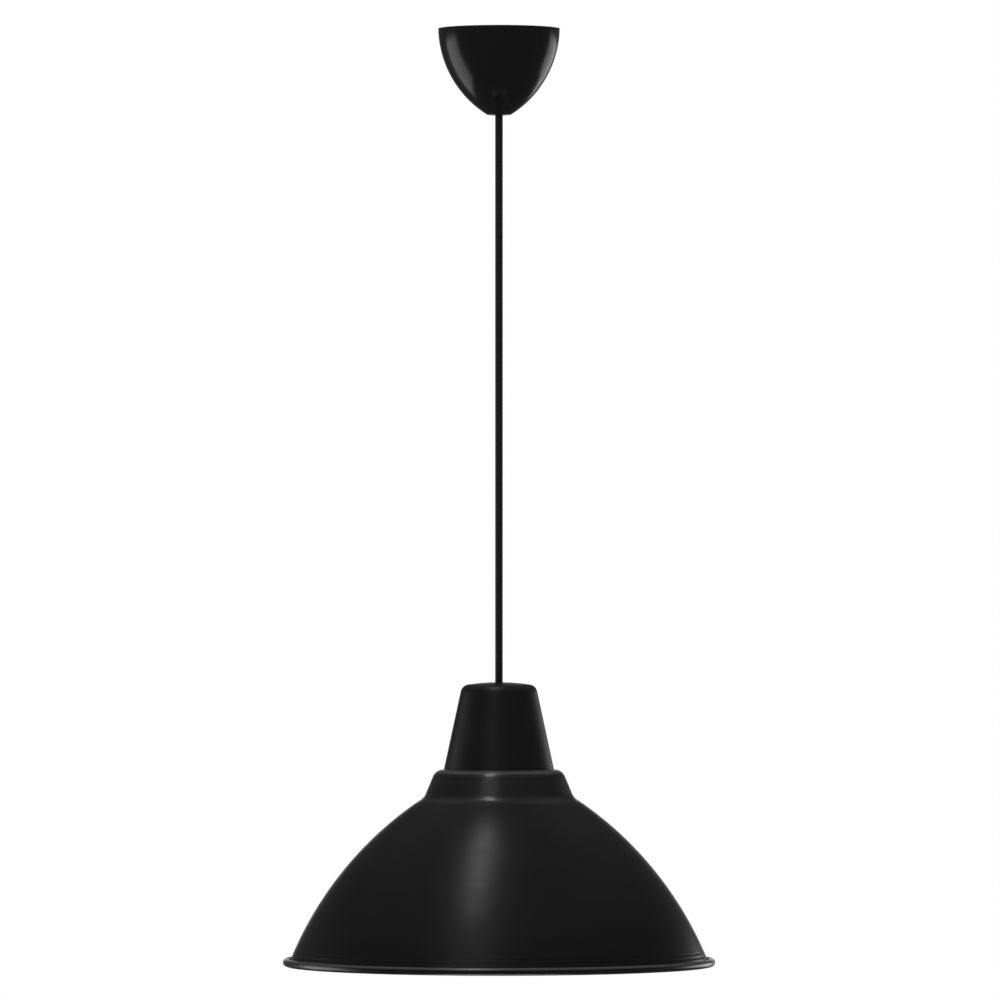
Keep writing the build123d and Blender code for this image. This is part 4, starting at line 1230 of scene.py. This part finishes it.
def bulb_globe(size):
    """Globe: two spheres about one centre, turned from arcs that run from the lowest point up to the lip on
    the housing."""
    bottom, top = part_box("bulb_globe")
    radius = top.x
    inner = radius - size.globe_wall
    middle = (0.0, bottom.z + radius)
    lip = top.z - middle[1]
    outside = arc(middle, radius, -90, math.degrees(math.asin(lip / radius)), count=48)
    inside = arc(middle, inner, math.degrees(math.asin(lip / inner)), -90, count=36)
    return turned(np.vstack((outside, inside)), size.columns)


class PENDANT_OT_bulb(bpy.types.Operator):
    """Turn the bulb's screw cap, housing and globe"""

    bl_idname = "pendant.bulb"
    bl_label = "Bulb"

    def execute(self, context):
        size = context.scene.pendant_bulb
        add_piece("cap_thread", [bulb_cap(size)], [nickel()], "cap_metal", "bulb_cap")
        add_piece("housing", [bulb_housing(size)], [bulb_white()], "bulb_plastic", "bulb_housing")
        add_piece("globe", [bulb_globe(size)], [opal(size)], "opal_plastic", "bulb_globe", closed=False)
        return {"FINISHED"}


def hook_wire(size):
    """Hook: a tube along a straight shank, a small bend and the bowl, with a thread on the shank."""
    radius = size.wire_diameter / 2
    top = high("ceiling_hook").z
    bowl_z = low("ceiling_hook").z + radius + size.bowl_radius
    reach = size.bend_radius + size.bowl_radius
    turn = math.acos(size.bend_radius / reach)
    bend_z = bowl_z + reach * math.sin(turn)
    turn = math.degrees(turn)
    shank = np.linspace((0.0, top), (0.0, bend_z), num=200)
    bend = arc((size.bend_radius, bend_z), size.bend_radius, 180, 180 + turn, count=16)[1:]
    bowl = arc((0.0, bowl_z), size.bowl_radius, turn, -180, count=60)[1:]
    line = np.vstack((shank, bend, bowl))
    path = np.column_stack((line[:, 0], np.zeros(len(line)), line[:, 1]))
    sides = 40
    pitch, start = size.hook_pitch, bend_z + size.hook_plain
    relief = thread(path[:, 2:], around(sides), pitch, size.hook_thread, start, top, pitch)
    relief[len(shank) :] = 0.0
    return swept(path, radius + relief, sides, aside=(0, 1, 0))


def hook_nut(size, under, over):
    """Hexagon nut: its reach at an angle a from the middle of a flat is half the width across flats
    divided by cos a, cut off by a cone at both ends. Rows between bore and outside take a share of it."""
    columns = 96
    cone_slope = 1.6
    sixth = math.pi / 3
    half = size.nut_flats / 2
    step = half / 12
    corner = half / math.cos(sixth / 2)
    bore = size.wire_diameter / 2 + size.nut_gap
    outline = fine(np.array([(bore, under), (corner, under), (corner, over), (bore, over)]), step)
    height = outline[:, 1:]
    flat = (around(columns) + sixth / 2) % sixth - sixth / 2
    cone = half + cone_slope * np.minimum(height - under, over - height)
    outside = np.minimum(half / np.cos(flat), cone) - bore
    return turned(outline * (0, 1), columns, bore + outside * ramp(outline[:, :1], bore, corner))


class PENDANT_OT_hook(bpy.types.Operator):
    """Bend the ceiling hook, cut its thread and put on its two nuts"""

    bl_idname = "pendant.hook"
    bl_label = "Hook and nuts"

    def execute(self, context):
        size = context.scene.pendant_fixing
        finish = zinc()
        add_piece("hook", [hook_wire(size)], [finish], "zinc_steel", "ceiling_hook", closed=False)
        bottom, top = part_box("hook_nuts")
        seat = low("ceiling_bracket").z
        nuts = [hook_nut(size, bottom.z, seat), hook_nut(size, seat + size.plate, top.z)]
        add_piece("nuts", nuts, [finish], "zinc_steel", "hook_nuts", sharp=NUT_EDGE)
        return {"FINISHED"}


def slotted_head(radius, height, size):
    """Screw head with a slot, on a grid of rows across the head: row t lies at y = r sin t, its points at
    x = r s cos t for s from -1 to 1, and the height is a low dome, lowered by the slot's depth inside it.
    The rows go down over both sides to the head's underside."""
    half = size.slot_width / 2
    rows = radius * np.sin(np.linspace(-np.pi / 2, np.pi / 2, HEAD_ROWS))
    rows = np.concatenate((rows[rows < -half], (-half, -half, half, half), rows[rows > half]))
    cut = np.zeros(len(rows))
    middle = np.searchsorted(rows, -half)
    cut[middle + 1 : middle + 3] = size.slot_depth
    across = np.linspace(-1, 1, HEAD_COLUMNS)
    width = np.sqrt(np.clip(radius**2 - rows**2, 0, None))
    x = width[:, None] * across
    y = np.repeat(rows[:, None], len(across), axis=1)
    dome = size.head_rounding * (1 - (x**2 + y**2) / radius**2)
    top = np.stack((x, y, height - size.head_rounding + dome - cut[:, None]), axis=2)
    under = top[:, ::-1] * (1, 1, 0)
    return np.concatenate((top, under), axis=1)


def stood(grid, seat, way, aside):
    """A grid made about the Z axis, stood on a seat along another way."""
    way = np.array(way, float)
    aside = np.array(aside, float)
    return np.array(seat) + grid @ np.stack((aside, np.cross(way, aside), way))


def screw_rod(radius, length):
    """Closed cylinder up the Z axis, with chamfers of a fifth of its radius."""
    edge = radius / 5
    foot = [(0, 0), (radius - edge, 0), (radius, edge)]
    end = [(radius, length - edge), (radius - edge, length), (0, length)]
    return turned(np.array(foot + end), columns=32)


def terminal_feet():
    """Heights of the slotted ends of the near and far terminal screws."""
    points = vertex_places(frame["nodes"]["terminal_screws"].data)
    middle = (points[:, 1].min() + points[:, 1].max()) / 2
    return [float(points[side, 2].min()) for side in (points[:, 1] < middle, points[:, 1] > middle)]


class PENDANT_OT_screws(bpy.types.Operator):
    """Put slotted screws into the cord clamp and the terminal block"""

    bl_idname = "pendant.screws"
    bl_label = "Screws"

    def execute(self, context):
        size = context.scene.pendant_fixing
        finish = zinc()
        sets = [
            ("clamp_screws", "hanger_screws", self.clamp(size)),
            ("pole_screws", "terminal_screws", self.poles(size)),
            ("block_screw", "terminal_fixing_screw", self.block(size)),
        ]
        for name, node, grids in sets:
            add_piece(name, grids, [finish], "zinc_steel", node, closed=False)
        return {"FINISHED"}

    def clamp(self, size):
        """Two screws across the clamp, with their heads on its front."""
        bottom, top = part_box("hanger_screws")
        front = high("hanger_clamp").x
        spread = top.y - size.head_radius
        z = (bottom.z + top.z) / 2
        head = slotted_head(size.head_radius, top.x - front, size)
        rod = screw_rod(size.shank_radius, front - bottom.x)
        grids = []
        for y in (-spread, spread):
            grids.append(stood(head, (front, y, z), way=(1, 0, 0), aside=(0, 0.6, 0.8)))
            grids.append(stood(rod, (bottom.x, y, z), way=(1, 0, 0), aside=(0, 1, 0)))
        return grids

    def poles(self, size):
        """Four headless screws, two to a pole, slotted at their feet."""
        bottom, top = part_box("terminal_screws")
        radius = size.shank_radius
        grub = slotted_head(radius, size.grub_length, size)
        grids = []
        for y, foot in zip((bottom.y + radius, top.y - radius), terminal_feet()):
            for x in (bottom.x + radius, top.x - radius):
                seat = (x, y, foot + size.grub_length)
                grids.append(stood(grub, seat, way=(0, 0, -1), aside=(0.8, 0.6, 0)))
        return grids

    def block(self, size):
        """One screw up through the block into the bracket's tab."""
        bottom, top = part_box("terminal_fixing_screw")
        seat = (0, (bottom.y + top.y) / 2, bottom.z + size.head_height)
        head = slotted_head((top.x - bottom.x) / 2, size.head_height, size)
        rod = screw_rod(size.shank_radius, top.z - seat[2])
        return [
            stood(head, seat, way=(0, 0, -1), aside=(0.6, 0.8, 0)),
            stood(rod, seat, way=(0, 0, 1), aside=(1, 0, 0)),
        ]


class PENDANT_OT_fittings(bpy.types.Operator):
    """Give the plain fittings of the frame their finishes"""

    bl_idname = "pendant.fittings"
    bl_label = "Fittings"

    def execute(self, context):
        finishes = {
            zinc(): ["ceiling_bracket", "collar_screw", "holder_terminal_screws"],
            nylon(): ["cord_hanger", "hanger_clamp", "terminal_block", "cord_collar"],
            brass(): ["terminal_sleeves", "holder_terminals", "centre_contact"],
            nickel(): ["bulb_tip"],
            rubber(): ["cord_grip"],
            ceramic(): ["contact_block"],
            holder_black(): ["bulb_insulator"],
            board_white(): ["led_board"],
        }
        for finish, nodes in finishes.items():
            for node in nodes:
                materials = frame["nodes"][node].data.materials
                materials.clear()
                materials.append(finish)
        return {"FINISHED"}


# Studio


def studio_lamp(name, spot, target, size, radiance, turn=0.0):
    """Soft rectangular lamp. Its power is radiance times pi times its area."""
    light = bpy.data.lights.new(name, "AREA")
    light.shape = "RECTANGLE"
    light.size, light.size_y = size
    light.energy = radiance * math.pi * light.size * light.size_y
    lamp = bpy.data.objects.new(name, light)
    lamp.location = spot
    way = (Vector(target) - Vector(spot)).to_track_quat("-Z", "Y")
    lamp.rotation_euler = (way @ Quaternion((0, 0, 1), turn)).to_euler()
    lamp.visible_camera = False
    bpy.context.scene.collection.objects.link(lamp)


def studio_world(size):
    """Grey light from all round. The camera sees white. Reflections and glass see the white backdrop
    straight behind the lamp, the pale ceiling and dark walls."""
    world = bpy.data.worlds.new("studio")
    world.use_nodes = True
    tree = world.node_tree
    wire = Wire(tree)
    ceiling_edge = (0.40, 0.85)
    backdrop_edge = (0.960, 0.998)
    white = (1, 1, 1, 1)
    _, y, z = wire.parts(wire.node("ShaderNodeTexCoord", output="Generated"))
    rays = ["Is Camera Ray", "Is Glossy Ray", "Is Transmission Ray"]
    camera, glossy, through = [wire.node("ShaderNodeLightPath", output=ray) for ray in rays]
    seen = wire.math("MINIMUM", camera + glossy + through, 1.0)
    room = size.walls + z.clamped(*ceiling_edge) * (size.ceiling - size.walls)
    backdrop = wire.math("MAXIMUM", camera, y.clamped(*backdrop_edge))
    strength = wire.math("MAXIMUM", room, backdrop)
    plain = wire.node("ShaderNodeBackground", inputs={"Color": white, "Strength": size.surround})
    studio = wire.node("ShaderNodeBackground", inputs={"Color": white, "Strength": strength})
    mixed = wire.node("ShaderNodeMixShader", inputs={0: seen, 1: plain, 2: studio})
    tree.links.new(mixed.socket, tree.nodes["World Output"].inputs["Surface"])
    bpy.context.scene.world = world


def studio_floor(size):
    """Plain round floor that fades out towards its edge, and is open from below so that the lamp can be
    seen from there too."""
    columns = 96
    solid_share = 0.25
    outline = np.array([(0.0, size.floor_z), (size.floor_radius, size.floor_z)])
    points = turned(outline, columns).reshape(-1, 3)
    mesh = bpy.data.meshes.new("floor")
    mesh.from_pydata(points[columns - 1 :], [], [tuple(range(1, columns + 1))])
    constants = {"Base Color": (*size.floor_colour, 1.0), "Roughness": 0.8, "Specular IOR Level": 0.1}
    finish = new_finish("floor", constants, lambda wire: {})
    tree = finish.node_tree
    wire = Wire(tree)
    x, y, _ = wire.parts(wire.place())
    faded = wire.reach(x, y).clamped(solid_share * size.floor_radius, size.floor_radius)
    behind = wire.node("ShaderNodeNewGeometry", output="Backfacing")
    opening = wire.math("MAXIMUM", behind, faded)
    paint = Wire(tree, tree.nodes["Principled BSDF"].outputs[0])
    clear = wire.node("ShaderNodeBsdfTransparent")
    sided = wire.node("ShaderNodeMixShader", inputs={0: opening, 1: paint, 2: clear})
    tree.links.new(sided.socket, tree.nodes["Material Output"].inputs["Surface"])
    mesh.materials.append(finish)
    floor = bpy.data.objects.new("floor", mesh)
    bpy.context.scene.collection.objects.link(floor)


class PENDANT_OT_studio(bpy.types.Operator):
    """Set up the camera, the soft lamps, the surround and the floor"""

    bl_idname = "pendant.studio"
    bl_label = "Studio"

    def execute(self, context):
        size = context.scene.pendant_studio
        lens = bpy.data.cameras.new("camera")
        lens.lens = size.lens
        lens.sensor_width = 36.0
        lens.clip_end = 100.0
        camera = bpy.data.objects.new("camera", lens)
        camera.location = size.camera
        camera.rotation_euler = (Vector(size.aim) - Vector(size.camera)).to_track_quat("-Z", "Y").to_euler()
        context.scene.collection.objects.link(camera)
        context.scene.camera = camera
        context.scene.view_settings.view_transform = "Standard"
        studio_world(size)
        studio_floor(size)
        cup = (low("ceiling_cup") + high("ceiling_cup")) / 2
        shade = (low("shade") + high("shade")) / 2
        under = Vector(size.strip) - Vector((0, 0, 1))
        studio_lamp("left_box", size.left_box, cup, size.left_size, size.left_radiance)
        studio_lamp("right_box", size.right_box, cup, size.right_size, size.right_radiance)
        studio_lamp("strip", size.strip, under, size.strip_size, size.strip_radiance, size.strip_turn)
        studio_lamp("front_panel", size.front_panel, shade, size.front_size, size.front_radiance)
        studio_lamp("low_panel", size.low_panel, shade, size.low_size, size.low_radiance)
        return {"FINISHED"}


class VIEW3D_PT_pendant(bpy.types.Panel):
    """The pieces of the pendant light and the studio"""

    bl_label = "Pendant Light"
    bl_space_type = "VIEW_3D"
    bl_region_type = "UI"
    bl_category = "Pendant"

    def draw(self, context):
        for operator in OPERATORS:
            self.layout.operator(operator.bl_idname)


SETTINGS = {
    "pendant_shade": PENDANT_PG_shade,
    "pendant_cup": PENDANT_PG_cup,
    "pendant_cover": PENDANT_PG_cover,
    "pendant_cord": PENDANT_PG_cord,
    "pendant_holder": PENDANT_PG_holder,
    "pendant_bulb": PENDANT_PG_bulb,
    "pendant_fixing": PENDANT_PG_fixing,
    "pendant_studio": PENDANT_PG_studio,
}
OPERATORS = (
    PENDANT_OT_studio,
    PENDANT_OT_cord,
    PENDANT_OT_cores,
    PENDANT_OT_shade,
    PENDANT_OT_cup,
    PENDANT_OT_cover,
    PENDANT_OT_holder,
    PENDANT_OT_ring,
    PENDANT_OT_bulb,
    PENDANT_OT_hook,
    PENDANT_OT_screws,
    PENDANT_OT_fittings,
)


def register():
    for name, group in SETTINGS.items():
        bpy.utils.register_class(group)
        setattr(bpy.types.Scene, name, PointerProperty(type=group))
    for operator in OPERATORS:
        bpy.utils.register_class(operator)
    bpy.utils.register_class(VIEW3D_PT_pendant)


def unregister():
    bpy.utils.unregister_class(VIEW3D_PT_pendant)
    for operator in reversed(OPERATORS):
        bpy.utils.unregister_class(operator)
    for name, group in reversed(SETTINGS.items()):
        delattr(bpy.types.Scene, name)
        bpy.utils.unregister_class(group)


def main():
    register()
    bpy.ops.pendant.studio()
    bpy.ops.pendant.cord()
    bpy.ops.pendant.cores()
    bpy.ops.pendant.shade()
    bpy.ops.pendant.cup()
    bpy.ops.pendant.cover()
    bpy.ops.pendant.holder()
    bpy.ops.pendant.ring()
    bpy.ops.pendant.bulb()
    bpy.ops.pendant.hook()
    bpy.ops.pendant.screws()
    bpy.ops.pendant.fittings()


if __name__ == "__main__":
    main()
